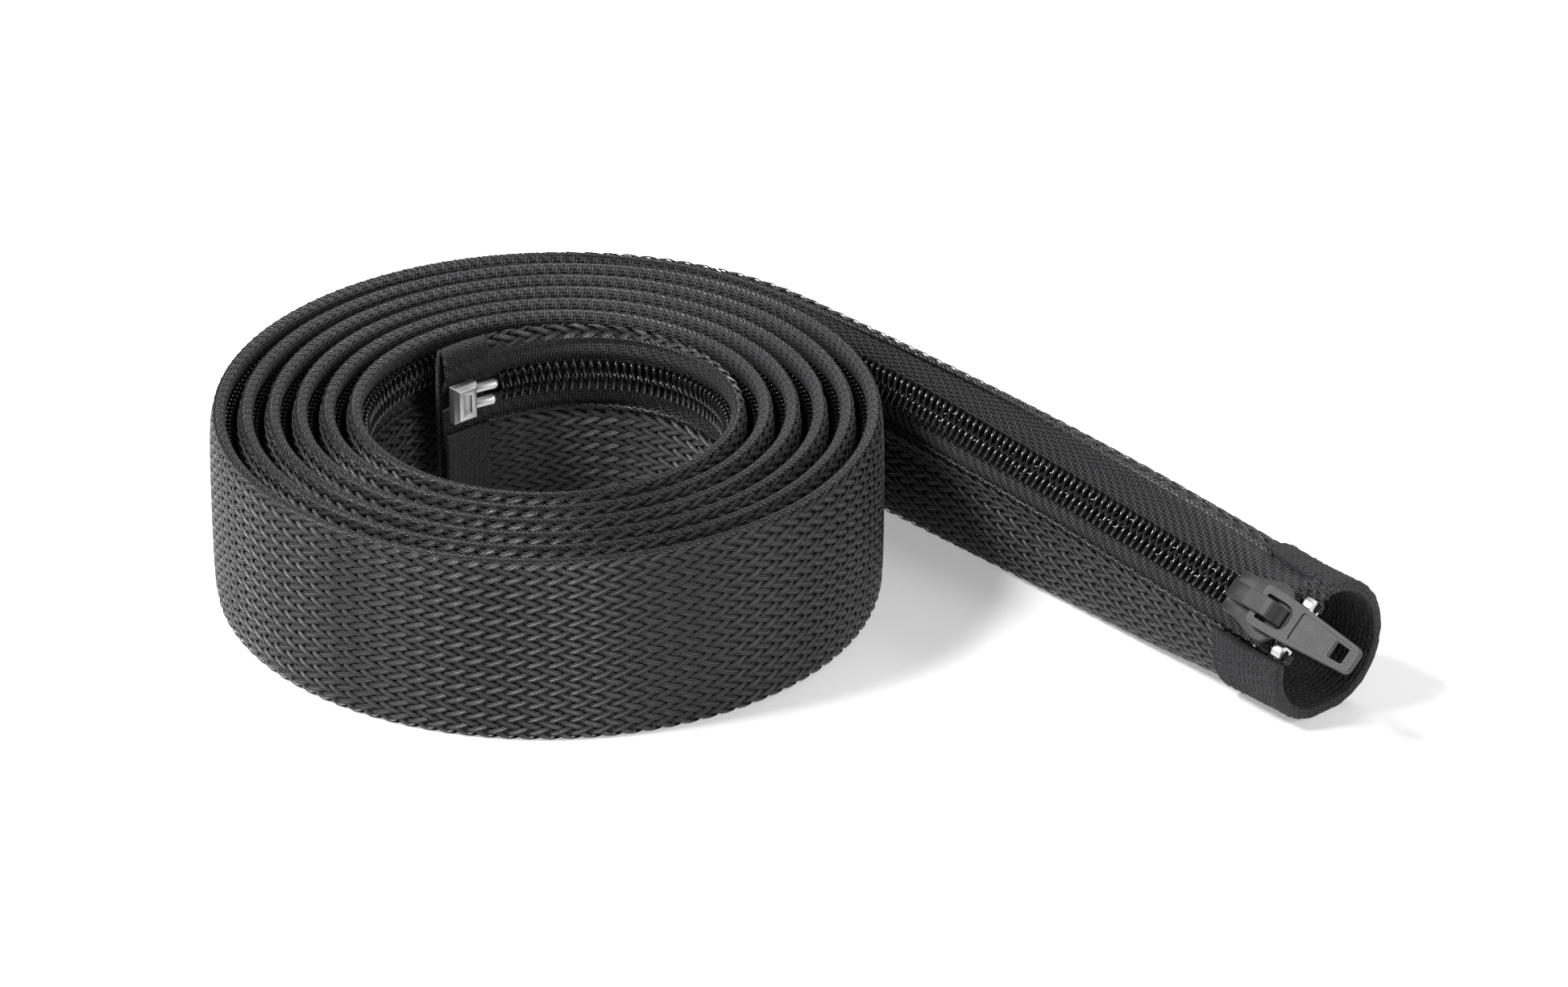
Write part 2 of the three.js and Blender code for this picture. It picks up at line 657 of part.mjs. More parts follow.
place(sleeve, "retainer_box", retainerBox(), brightMetal, innerEndFrame(3.2).multiply(new THREE.Matrix4().makeTranslation(0, 0, 0.95)));
place(sleeve, "upper_retainer_pin", retainerPin(4, 0.95), brightMetal, innerEndFrame(8.4).multiply(new THREE.Matrix4().makeTranslation(0, 1.35, 1.1)));
place(sleeve, "lower_retainer_pin", retainerPin(3.4, 1.05), brightMetal, innerEndFrame(8.1).multiply(new THREE.Matrix4().makeTranslation(0, -1.55, 1.1)));

// The frame's origin is under the middle of the part.
const bounds = new THREE.Box3().setFromObject(sleeve);
const middle = bounds.getCenter(new THREE.Vector3());
const part = new THREE.Group();
sleeve.position.set(-middle.x, -middle.y, -bounds.min.z);
part.add(sleeve);

export default part;
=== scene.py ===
import math

import bmesh
import bpy
import numpy as np
from bpy.props import FloatProperty, FloatVectorProperty, IntProperty, PointerProperty
from mathutils import Matrix, Vector


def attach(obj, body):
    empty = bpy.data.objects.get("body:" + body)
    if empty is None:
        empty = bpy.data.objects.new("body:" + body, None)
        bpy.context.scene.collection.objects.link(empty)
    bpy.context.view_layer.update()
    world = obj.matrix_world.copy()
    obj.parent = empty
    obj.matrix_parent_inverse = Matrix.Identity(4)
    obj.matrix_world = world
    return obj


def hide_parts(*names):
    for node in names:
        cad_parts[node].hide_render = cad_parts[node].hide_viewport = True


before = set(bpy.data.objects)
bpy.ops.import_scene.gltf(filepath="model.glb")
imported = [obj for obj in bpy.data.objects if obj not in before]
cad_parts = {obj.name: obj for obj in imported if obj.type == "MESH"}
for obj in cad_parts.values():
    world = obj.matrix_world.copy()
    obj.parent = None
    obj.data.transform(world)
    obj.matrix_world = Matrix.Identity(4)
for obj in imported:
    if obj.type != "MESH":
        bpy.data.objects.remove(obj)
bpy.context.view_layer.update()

bl_info = {
    "name": "Zippered Cable Sleeve",
    "version": (1, 0, 0),
    "blender": (4, 5, 0),
    "location": "View3D > Sidebar > Cable Sleeve",
    "description": "Dresses the packed cable sleeve with its braid, zip chain, tapes, bindings and metal",
    "category": "Object",
}

# Sizes are in millimetres until a mesh is made. They repeat the part's own.
MM = 0.001

TURN_PITCH = 4.73
TURNS = 6.26
OUTER_RADIUS = 59.85
END_PULL = 2.0
END_PULL_TURNS = 0.22
MOUTH_X = 125.0
CHAIN_STRAIGHT_X = 78.0
CHAIN_SLOPE = 0.085
CHAIN_TILT = math.radians(45)
SLEEVE_HEIGHT = 34.5
WALL = 0.8
HALF_FLAT = 1.2
MOUTH_HEIGHT = 24.0
MOUTH_HALF_WIDTH = 11.9
MOUTH_OFFSET = 6.0
FLAT_SPOT = 0.5
MOUTH_FLAT_SPOT = 1.8
CHAIN_INSET = 0.85
CHAIN_HEIGHT = 28.2
CHAIN_HEIGHT_LEAVING = 26.8
CHAIN_HEIGHT_INNER_END = 24.3
CHAIN_HEIGHT_STRAIGHT = 22.6
STRIP_HALF = 4.5
FLOOR_RISE_LENGTH = 40.0
BINDING_LENGTH = 15.0
BINDING_HALF = 1.15
INNER_BINDING_LENGTH = 10.0
INNER_BINDING_HALF = 0.6
UPPER_BRAID_EDGE = 6.9
UPPER_BRAID_EDGE_AT_MOUTH = 9.6
LOWER_BRAID_EDGE = 6.6
LOWER_TAPE_END = 9.5
TAPE_EDGE = 1.7
TAPE_LEVEL = -0.95
TAPE_THICKNESS = 0.5
SLIDER_X = 117.7
TOOTH_PITCH = 1.54
CROWN_TOP = 6.64
CROWN_HALF_WIDTH = 1.64
PIVOT_X = 1.6
PIVOT_Z = 4.7
TAB_THICKNESS = 1.3
TAB_REST = math.radians(9)
COIL_CENTRE = (-39.715, -9.662)
ROUND_SAMPLES = 192
# Where the braid and the chain change to fewer faces, in turns into the coil and as a run.
NEAR_TURNS = 1.06
MIDDLE_TURNS = 2.9
BRAID_SPLIT = -20.0
# How far the first and the last loop of the chain lie from the sleeve's inner end and its mouth.
CHAIN_FROM_INNER_END = 12.4
CHAIN_TO_MOUTH = 2.6
# From here to the mouth the tapes' cut ends are melted and crumpled.
MELTED_LENGTH = 6.0
FLOOR_HALF = 6000
# The share of the white world's light that falls on the part; the camera sees all of it.
WORLD_SHARE = 0.16
# In metres, like every place on the stage.
LIGHT_AIM = (0, 0, 0.01)
CAMERA_PLACE = (0.8173, -0.7291, 0.6073)
CAMERA_AIM = (-0.0360, 0.0410, 0.0)


def clamp(value, low=0.0, high=1.0):
    return min(max(value, low), high)


def lerp(a, b, share):
    return a + (b - a) * share


def smoothstep(value, low, high):
    share = np.clip((value - low) / (high - low), 0, 1)
    return share * share * (3 - 2 * share)


def unit(vectors):
    return vectors / np.linalg.norm(vectors, axis=-1, keepdims=True)


def distances(points):
    """The distance along a line at each of its points."""
    return np.concatenate([[0], np.cumsum(np.linalg.norm(np.diff(points, axis=0), axis=1))])


def bend(a, leave, reach_a, b, arrive, reach_b, count):
    """Points of the smooth curve from a to b that leaves and arrives in the given directions."""
    a, leave, b, arrive = (np.array(v, float) for v in (a, leave, b, arrive))
    span = b - a
    near_a = a + leave * reach_a * abs(span @ leave)
    near_b = b - arrive * reach_b * abs(span @ arrive)
    t = np.linspace(0, 1, count + 1)[:, None]
    left = 1 - t
    return left**3 * a + 3 * left**2 * t * near_a + 3 * left * t**2 * near_b + t**3 * b


def section_path(fill, chain, tilt, floor):
    """One closed cross-section in (outward, up), clockwise from the chain's middle."""
    height = SLEEVE_HEIGHT - WALL / 2 - (SLEEVE_HEIGHT - MOUTH_HEIGHT) * fill**1.6
    middle = lerp(HALF_FLAT - CHAIN_INSET, MOUTH_OFFSET, fill)
    half = lerp(HALF_FLAT, MOUTH_HALF_WIDTH, fill)
    flat = lerp(FLAT_SPOT, MOUTH_FLAT_SPOT, fill)
    chain = np.array(chain, float)
    up = np.array([math.sin(tilt), math.cos(tilt)])
    strip_top = chain + up * STRIP_HALF
    strip_bottom = chain - up * STRIP_HALF
    top = (middle, height)
    outer = (middle + half, lerp(17, 11.9, fill))
    foot_outer = (middle + flat, floor)
    foot_inner = (middle - flat, floor)
    inner = (middle - half, lerp(14, 10.6, fill))
    wall = lerp(0.93, 0.5523, fill)
    fold = lerp(0.62, 0.5523, fill)
    rise, down, right, left = (0, 1), (0, -1), (1, 0), (-1, 0)
    parts = [
        bend(strip_top, up, lerp(0.85, 0.42, fill), top, right, lerp(0.7, 0.42, fill), 24),
        bend(top, right, fold, outer, down, wall, 36),
        bend(outer, down, wall, foot_outer, left, fold, 36),
        np.array([foot_outer, foot_inner], float),
        bend(foot_inner, left, fold, inner, rise, wall, 36),
        bend(inner, rise, 0.4, strip_bottom, up, 0.4, 24),
        np.array([strip_bottom, chain]),
    ]
    return np.concatenate([chain[None]] + [parts[0]] + [part[1:] for part in parts[1:]])


def evenly(points):
    """The outline as ROUND_SAMPLES equal steps, and its whole length."""
    at = distances(points)
    want = np.linspace(0, at[-1], ROUND_SAMPLES + 1)
    return np.stack([np.interp(want, at, points[:, k]) for k in (0, 1)], 1), at[-1]


def fullness(x):
    """How far the section has opened from flat (0) to round (1)."""
    return clamp((x + 10) / (MOUTH_X + 1)) ** 1.8 * float(smoothstep(x, -5, 5))


def coil_radius(turns):
    pull = END_PULL * smoothstep(turns, TURNS - END_PULL_TURNS, TURNS)
    return OUTER_RADIUS - TURN_PITCH * turns - pull


def coil_station(turns):
    angle = math.pi / 2 + math.atan(TURN_PITCH / (2 * math.pi * OUTER_RADIUS)) + 2 * math.pi * turns
    out = (math.cos(angle), math.sin(angle))
    radius = coil_radius(turns)
    leaving = lerp(CHAIN_HEIGHT_LEAVING, CHAIN_HEIGHT, smoothstep(turns, 0, 0.25))
    height = lerp(leaving, CHAIN_HEIGHT_INNER_END, smoothstep(turns, TURNS - 0.5, TURNS))
    floor = lerp(WALL / 2, INNER_BINDING_HALF, smoothstep(turns, TURNS - 0.15, TURNS - 0.06))
    path = section_path(0, (-CHAIN_INSET, height), 0, floor)
    return path, (radius * out[0], radius * out[1]), out


def straight_station(x):
    share = clamp(x / CHAIN_STRAIGHT_X)
    offset = -CHAIN_INSET - 0.7 * (1 - (1 - share) ** 2)
    start = CHAIN_HEIGHT_STRAIGHT + CHAIN_SLOPE * CHAIN_STRAIGHT_X - CHAIN_HEIGHT_LEAVING
    height = CHAIN_HEIGHT_STRAIGHT - CHAIN_SLOPE * (x - CHAIN_STRAIGHT_X) - start * (1 - share) ** 2
    tilt = CHAIN_TILT * math.sin(share * math.pi / 2)
    rise = smoothstep(x, MOUTH_X - FLOOR_RISE_LENGTH, MOUTH_X - BINDING_LENGTH)
    floor = lerp(WALL / 2, BINDING_HALF, rise)
    path = section_path(fullness(x), (offset, height), tilt, floor)
    _, origin, _ = coil_station(0)
    return path, (origin[0] + x, origin[1]), (0, 1)


class SleeveWall:
    """The wall's middle surface, read at a run and a distance round.

    The run is millimetres along the sleeve: 0 where it leaves the coil, minus into the coil, and
    MOUTH_X at the mouth. The distance round is 0 at the chain and positive over the top.
    """

    def __init__(self, coil_steps=90, straight_step=1.0):
        turns = np.linspace(TURNS, 0, int(TURNS * coil_steps) + 1)
        radii = np.array([coil_radius(t) for t in turns])
        arcs = 0.5 * (radii[1:] + radii[:-1]) * 2 * math.pi * -np.diff(turns)
        coil_runs = np.concatenate([[0], np.cumsum(arcs)])
        coil_runs -= coil_runs[-1]
        xs = np.arange(straight_step, MOUTH_X + 3.0, straight_step)
        stations = [coil_station(t) for t in turns] + [straight_station(x) for x in xs]
        self.runs = np.concatenate([coil_runs, xs])
        self.rounds = np.empty(len(stations))
        self.grid = np.empty((len(stations), ROUND_SAMPLES + 1, 3))
        self.normals = np.empty_like(self.grid)
        for i, station in enumerate(stations):
            self.lay_section(i, *station)

    def lay_section(self, i, path, origin, out):
        points, self.rounds[i] = evenly(path)
        looped = np.concatenate([points[-2:-1], points, points[1:2]])
        along = unit(np.gradient(looped, axis=0)[1:-1])
        outward = np.array([out[0], out[1], 0.0])
        up = np.array([0.0, 0.0, 1.0])
        base = np.array([COIL_CENTRE[0] + origin[0], COIL_CENTRE[1] + origin[1], 0.0])
        self.grid[i] = base + points[:, :1] * outward + points[:, 1:] * up
        self.normals[i] = -along[:, 1:] * outward + along[:, :1] * up

    def round_at(self, run):
        return np.interp(run, self.runs, self.rounds)

    def at(self, run, around, lift=0.0):
        """Points lifted off the wall's middle, and the outward normals there."""
        run, around, lift = np.broadcast_arrays(np.asarray(run, float), around, lift)
        i = np.clip(np.searchsorted(self.runs, run) - 1, 0, len(self.runs) - 2)
        f = ((run - self.runs[i]) / (self.runs[i + 1] - self.runs[i]))[..., None]
        share = np.mod(around / self.round_at(run), 1.0) * ROUND_SAMPLES
        j = np.minimum(share.astype(int), ROUND_SAMPLES - 1)
        g = (share - j)[..., None]

        def blend(values):
            low = values[i, j] * (1 - g) + values[i, j + 1] * g
            high = values[i + 1, j] * (1 - g) + values[i + 1, j + 1] * g
            return low * (1 - f) + high * f

        normal = unit(blend(self.normals))
        return blend(self.grid) + normal * lift[..., None], normal

    def run_of_turns(self, turns):
        """The run at a number of turns into the coil."""
        return -2 * math.pi * (OUTER_RADIUS * turns - TURN_PITCH * turns**2 / 2)


wall = SleeveWall()
INNER_END = float(wall.runs[0])


def spread(x):
    """How far each tape has moved away from the chain's middle, in front of and in the slider."""
    wedge = 1.55 * smoothstep(x, SLIDER_X - 4, SLIDER_X + 2.5)
    return wedge + 1.1 * smoothstep(x, SLIDER_X + 2, MOUTH_X)


def fullness_at(runs):
    return np.array([fullness(x) if x > -5 else 0.0 for x in np.atleast_1d(runs)])


def upper_edge_at(runs):
    """Where the braid's upper edge lies, round from the chain."""
    share = smoothstep(np.asarray(runs, float), 0, MOUTH_X / 2)
    return lerp(UPPER_BRAID_EDGE, UPPER_BRAID_EDGE_AT_MOUTH, share)


def lower_edge_at(runs):
    return wall.round_at(runs) - LOWER_BRAID_EDGE


# Sizes and colours that a user would change
class BraidSettings(bpy.types.PropertyGroup):
    strands: IntProperty(
        name="Strands", default=42, min=8, max=80,
        description="Bundles that run each way across the braid")
    rim_radius: FloatProperty(
        name="Rim radius", default=0.32 * MM, unit="LENGTH",
        description="Radius of each twisted strand along the braid's edges")
    rim_pitch: FloatProperty(
        name="Rim pitch", default=3.3 * MM, unit="LENGTH",
        description="Distance along the sleeve in which the edge's strands twist once")
    repeat: FloatProperty(
        name="Repeat", default=3.45 * MM, unit="LENGTH",
        description="Distance along the sleeve from one bundle to the next")
    bundle_width: FloatProperty(
        name="Bundle width", default=1.06 * MM, unit="LENGTH",
        description="Width of one flat bundle of filaments")
    bundle_height: FloatProperty(
        name="Bundle height", default=0.2 * MM, unit="LENGTH",
        description="Height of a bundle's crown above its edges")
    lift: FloatProperty(
        name="Lift", default=0.22 * MM, unit="LENGTH",
        description="How far a bundle rises and falls over the ones it crosses")
    colour: FloatVectorProperty(
        name="Filament colour", subtype="COLOR", default=(0.02, 0.02, 0.0215), min=0, max=1,
        description="Colour of the braid's filaments")


class ChainSettings(bpy.types.PropertyGroup):
    wire: FloatProperty(
        name="Wire radius", default=0.36 * MM, unit="LENGTH",
        description="Radius of the nylon wire that the chain is wound from")
    colour: FloatVectorProperty(
        name="Nylon colour", subtype="COLOR", default=(0.016, 0.016, 0.0165), min=0, max=1,
        description="Colour of the zip chain's nylon")


class ClothSettings(bpy.types.PropertyGroup):
    tape_colour: FloatVectorProperty(
        name="Tape colour", subtype="COLOR", default=(0.013, 0.013, 0.014), min=0, max=1,
        description="Colour of the zip's woven tapes")
    binding_colour: FloatVectorProperty(
        name="Binding colour", subtype="COLOR", default=(0.012, 0.012, 0.013), min=0, max=1,
        description="Colour of the knitted binding at both ends")


class MetalSettings(bpy.types.PropertyGroup):
    enamel_colour: FloatVectorProperty(
        name="Enamel colour", subtype="COLOR", default=(0.022, 0.022, 0.023), min=0, max=1,
        description="Colour of the slider's and pull tab's enamel")
    bright_colour: FloatVectorProperty(
        name="Bright metal colour", subtype="COLOR", default=(0.82, 0.82, 0.83), min=0, max=1,
        description="Colour of the stops, the retainer box and its pins")


class StageSettings(bpy.types.PropertyGroup):
    lens: FloatProperty(
        name="Lens", default=166.0, min=10, max=500,
        description="Focal length in millimetres on a 36 mm wide sensor")
    key_power: FloatProperty(
        name="Key power", default=30.0, min=0, description="Power of the main soft light in watts")
    fill_power: FloatProperty(
        name="Fill power", default=9.0, min=0, description="Power of the fill light in watts")
    floor_colour: FloatVectorProperty(
        name="Floor colour", subtype="COLOR", default=(0.92, 0.92, 0.92), min=0, max=1,
        description="Colour of the floor in the light")


# Meshes
def linked(name, data):
    """A new object in the scene that holds the data."""
    made = bpy.data.objects.new(name, data)
    bpy.context.scene.collection.objects.link(made)
    return made


def mesh_object(name, vertices, faces, uvs=None, smooth=True):
    """A piece from points in millimetres. uvs is one pair for each corner, in millimetres."""
    mesh = bpy.data.meshes.new(name)
    mesh.from_pydata((np.asarray(vertices) * MM).tolist(), [], faces)
    if uvs is not None:
        layer = mesh.uv_layers.new(name="UVMap")
        layer.data.foreach_set("uv", np.asarray(uvs, np.float32).ravel())
    mesh.polygons.foreach_set("use_smooth", np.full(len(mesh.polygons), smooth))
    mesh.update()
    return linked(name, mesh)


def skin_faces(rings, corners):
    """Quads round each pair of neighbouring rings, with two end caps, facing out for a ring that runs
    anticlockwise seen against the direction of the sweep."""
    i = np.arange(rings - 1)[:, None] * corners
    j = np.arange(corners)[None, :]
    k = (j + 1) % corners
    quads = np.stack([i + j, i + k, i + corners + k, i + corners + j], -1).reshape(-1, 4)
    first = list(range(corners))[::-1]
    last = [(rings - 1) * corners + n for n in range(corners)]
    return quads, first, last


def swept(name, rings, uvs):
    """A closed body through rings of points (rings, corners, 3), with uv pairs (rings, corners + 1, 2)."""
    count, corners = rings.shape[:2]
    quads, first, last = skin_faces(count, corners)
    i = np.arange(count - 1)[:, None]
    j = np.arange(corners)[None, :]
    corner_uv = np.stack([uvs[i, j], uvs[i, j + 1], uvs[i + 1, j + 1], uvs[i + 1, j]], 2)
    faces = quads.tolist() + [first, last]
    loops = np.concatenate([corner_uv.reshape(-1, 2), uvs[0, :corners][::-1], uvs[-1, :corners]])
    piece = mesh_object(name, rings.reshape(-1, 3), faces, loops)
    face_outwards(piece.data)
    return piece


def face_outwards(mesh):
    """Turns every face of a closed mesh outwards."""
    work = bmesh.new()
    work.from_mesh(mesh)
    bmesh.ops.recalc_face_normals(work, faces=work.faces)
    work.to_mesh(mesh)
    work.free()


# Geometry node trees
def tree_with(name, sockets):
    """An empty geometry tree with one geometry in and out, and the named inputs."""
    tree = bpy.data.node_groups.new(name, "GeometryNodeTree")
    tree.interface.new_socket("Geometry", in_out="INPUT", socket_type="NodeSocketGeometry")
    for label, kind in sockets:
        tree.interface.new_socket(label, in_out="INPUT", socket_type="NodeSocket" + kind)
    tree.interface.new_socket("Geometry", in_out="OUTPUT", socket_type="NodeSocketGeometry")
    return tree, tree.nodes.new("NodeGroupInput"), tree.nodes.new("NodeGroupOutput")


def add_node(tree, kind, inputs=None, **settings):
    """A node of that kind. inputs maps a socket's name or number to a value or another node's socket."""
    made = tree.nodes.new(kind)
    for key, value in settings.items():
        setattr(made, key, value)
    for key, value in (inputs or {}).items():
        set_input(tree, made.inputs[key], value)
    return made


def set_input(tree, socket, value):
    if isinstance(value, bpy.types.NodeSocket):
        tree.links.new(value, socket)
    else:
        socket.default_value = value


def vector(tree, **parts):
    return add_node(tree, "ShaderNodeCombineXYZ", parts).outputs[0]


def read_attribute(tree, label, kind="FLOAT_VECTOR"):
    reader = add_node(tree, "GeometryNodeInputNamedAttribute", {"Name": label}, data_type=kind)
    return reader.outputs["Attribute"]


def keep_attribute(tree, geometry, label, value, kind="FLOAT", domain="POINT"):
    stored = add_node(tree, "GeometryNodeStoreNamedAttribute", {
        "Geometry": geometry, "Name": label, "Value": value}, data_type=kind, domain=domain)
    return stored.outputs[0]


def bundle_tree():
    """A flat, crowned bundle swept along guide lines that carry their outward direction."""
    tree, given, result = tree_with("flat_bundle", [
        ("Width", "Float"), ("Crown", "Float"), ("Steps", "Int"), ("Material", "Material")])
    curve = add_node(tree, "GeometryNodeMeshToCurve", {"Mesh": given.outputs["Geometry"]})
    facing = add_node(tree, "GeometryNodeSetCurveNormal", {
        "Curve": curve.outputs[0], "Normal": read_attribute(tree, "outward")}, mode="FREE")
    width = given.outputs["Width"]
    start, end = (vector(tree, Y=calc(tree, "MULTIPLY", width, share)) for share in (0.5, -0.5))
    arc = add_node(tree, "GeometryNodeCurveArc", {
        "Resolution": given.outputs["Steps"], "Start": start,
        "Middle": vector(tree, X=given.outputs["Crown"]), "End": end}, mode="POINTS")
    place = add_node(tree, "GeometryNodeSplineParameter").outputs
    body = add_node(tree, "GeometryNodeCurveToMesh", {
        "Curve": keep_attribute(tree, facing.outputs[0], "along", place["Length"]),
        "Profile Curve": keep_attribute(tree, arc.outputs["Curve"], "across", place["Factor"])})
    uv = vector(tree, X=read_attribute(tree, "along", "FLOAT"), Y=read_attribute(tree, "across", "FLOAT"))
    mapped = keep_attribute(tree, body.outputs[0], "UVMap", uv, "FLOAT2", "CORNER")
    finish_tree(tree, mapped, given, result)
    return tree


def finish_tree(tree, geometry, given, result):
    """The end of every tree: instances made real, smooth faces and the material."""
    real = add_node(tree, "GeometryNodeRealizeInstances", {"Geometry": geometry})
    smooth = add_node(tree, "GeometryNodeSetShadeSmooth", {
        "Geometry": real.outputs[0], "Shade Smooth": True})
    painted = add_node(tree, "GeometryNodeSetMaterial", {
        "Geometry": smooth.outputs[0], "Material": given.outputs["Material"]})
    tree.links.new(painted.outputs[0], result.inputs[0])


def placing_tree():
    """A small shape set at every point, turned to the point's outward and along directions."""
    tree, given, result = tree_with("set_along", [("Shape", "Object"), ("Material", "Material")])
    shape = add_node(tree, "GeometryNodeObjectInfo", {"Object": given.outputs["Shape"]})
    turned = add_node(tree, "FunctionNodeAxesToRotation", {
        "Primary Axis": read_attribute(tree, "outward"), "Secondary Axis": read_attribute(tree, "along")},
        primary_axis="Z", secondary_axis="X")
    copies = add_node(tree, "GeometryNodeInstanceOnPoints", {
        "Points": given.outputs["Geometry"], "Instance": shape.outputs["Geometry"],
        "Rotation": turned.outputs["Rotation"], "Scale": read_attribute(tree, "size")})
    finish_tree(tree, copies.outputs[0], given, result)
    return tree


def guide_mesh(name, points, edges=(), **vectors):
    """Loose points in millimetres, with edges between some, and one named vector for each point."""
    mesh = bpy.data.meshes.new(name)
    mesh.from_pydata((points * MM).tolist(), list(edges), [])
    for label, values in vectors.items():
        layer = mesh.attributes.new(label, "FLOAT_VECTOR", "POINT")
        layer.data.foreach_set("vector", np.asarray(values, np.float32).ravel())
    return linked(name, mesh)


def plain_mesh(piece):
    """A mesh of what the piece looks like now."""
    return bpy.data.meshes.new_from_object(piece.evaluated_get(bpy.context.evaluated_depsgraph_get()))


def made_by_tree(guide, tree, inputs):
    """Runs a tree on the guide and keeps the result as the guide's own plain mesh."""
    modifier = guide.modifiers.new("made", "NODES")
    modifier.node_group = tree
    for item in tree.interface.items_tree:
        if item.item_type == "SOCKET" and item.in_out == "INPUT" and item.name in inputs:
            modifier[item.identifier] = inputs[item.name]
    mesh = plain_mesh(guide)
    guide.modifiers.remove(modifier)
    guide.data = mesh
    mesh.name = guide.name
    return guide


def the_tree(name, build):
    return bpy.data.node_groups.get(name) or build()


# Shader groups
def shader_group(name, inputs, outputs):
    group = bpy.data.node_groups.new(name, "ShaderNodeTree")
    for label, kind, default in inputs:
        socket = group.interface.new_socket(label, in_out="INPUT", socket_type="NodeSocket" + kind)
        if default is not None:
            socket.default_value = default
    for label, kind in outputs:
        group.interface.new_socket(label, in_out="OUTPUT", socket_type="NodeSocket" + kind)
    return group, group.nodes.new("NodeGroupInput"), group.nodes.new("NodeGroupOutput")


def calc(tree, operation, a, b=None, c=None):
    """One maths node's result."""
    inputs = {i: v for i, v in enumerate((a, b, c)) if v is not None}
    return add_node(tree, "ShaderNodeMath", inputs, operation=operation).outputs[0]


def scaled(tree, value, factor, base):
    return calc(tree, "MULTIPLY_ADD", value, factor, base)


def wave(tree, value):
    """One round hump, from 0 up to 1 and back, for each whole step of the value."""
    return calc(tree, "SINE", calc(tree, "MULTIPLY", calc(tree, "FRACT", value), math.pi))


def grain_group():
    """Fine uneven grain: a mask and a height from noise at two sizes."""
    group, given, result = shader_group("fine_grain", [
        ("Vector", "Vector", None), ("Scale", "Float", 4000.0)], [("Mask", "Float"), ("Height", "Float")])
    vector, scale = given.outputs["Vector"], given.outputs["Scale"]
    small = add_node(group, "ShaderNodeTexNoise", {"Vector": vector, "Scale": scale, "Detail": 3.0})
    wide = add_node(group, "ShaderNodeTexNoise", {
        "Vector": vector, "Scale": calc(group, "MULTIPLY", scale, 0.07)})
    group.links.new(wide.outputs[0], result.inputs["Mask"])
    group.links.new(small.outputs[0], result.inputs["Height"])
    return group


def twill_group():
    """Woven twill from a UV map in millimetres: how high the thread stands, and a painted shade that follows
    that height, darker in the gaps between threads, with warp floats drawn lighter than weft along the
    diagonal.
    """
    group, given, result = shader_group("twill_threads", [
        ("UV", "Vector", None), ("Thread", "Float", 0.42)], [("Height", "Float"), ("Shade", "Float")])
    split = add_node(group, "ShaderNodeSeparateXYZ", {"Vector": given.outputs["UV"]})
    u = calc(group, "DIVIDE", split.outputs["X"], given.outputs["Thread"])
    v = calc(group, "DIVIDE", split.outputs["Y"], given.outputs["Thread"])
    step = calc(group, "ADD", calc(group, "FLOOR", u), calc(group, "FLOOR", v))
    diagonal = calc(group, "FRACT", calc(group, "DIVIDE", step, 4.0))
    warp_up = calc(group, "LESS_THAN", diagonal, 0.49)
    weft = calc(group, "MULTIPLY", calc(group, "SUBTRACT", 1.0, warp_up), wave(group, v))
    height = calc(group, "ADD", calc(group, "MULTIPLY", warp_up, wave(group, u)), weft)
    # Painted shade: the colour follows the thread's height, darker in the gaps between threads, with warp
    # floats drawn lighter than weft.
    shade = calc(group, "MULTIPLY", height, scaled(group, warp_up, 0.45, 0.55))
    group.links.new(height, result.inputs["Height"])
    group.links.new(shade, result.inputs["Shade"])
    return group


def material(name, build):
    """The material of that name, made once."""
    made = bpy.data.materials.get(name)
    if made:
        return made
    made = bpy.data.materials.new(name)
    made.use_nodes = True
    tree = made.node_tree
    shader = next(n for n in tree.nodes if n.type == "BSDF_PRINCIPLED")
    build(tree, shader)
    return made


def group_node(tree, name, build, inputs):
    made = tree.nodes.new("ShaderNodeGroup")
    made.node_tree = the_tree(name, build)
    for key, value in inputs.items():
        set_input(tree, made.inputs[key], value)
    return made


def grained(tree, scale):
    vector = add_node(tree, "ShaderNodeTexCoord").outputs["Object"]
    return group_node(tree, "fine_grain", grain_group, {"Vector": vector, "Scale": scale})


def twilled(tree, thread):
    return group_node(tree, "twill_threads", twill_group, {"UV": uv_vector(tree), "Thread": thread})


def uv_vector(tree):
    return add_node(tree, "ShaderNodeUVMap", uv_map="UVMap").outputs[0]


def colour_by(tree, shader, colour, tones, mask):
    """The base colour between two tones of a colour, each a factor of it, by a mask."""
    mix = add_node(tree, "ShaderNodeMix", {"Factor": mask}, data_type="RGBA")
    for socket, factor in zip("AB", tones):
        mix.inputs[socket].default_value = (*(min(1.0, part * factor) for part in colour), 1)
    mixed = next(o for o in mix.outputs if o.type == "RGBA")
    tree.links.new(mixed, shader.inputs["Base Color"])


def dress(tree, shader, colour, tones, mask, roughness, height, depth):
    """The colour by a mask, the roughness, and bump of a depth in millimetres."""
    colour_by(tree, shader, colour, tones, mask)
    tree.links.new(roughness, shader.inputs["Roughness"])
    bump = add_node(tree, "ShaderNodeBump", {"Height": height, "Distance": depth * MM, "Strength": 1.0})
    tree.links.new(bump.outputs[0], shader.inputs["Normal"])


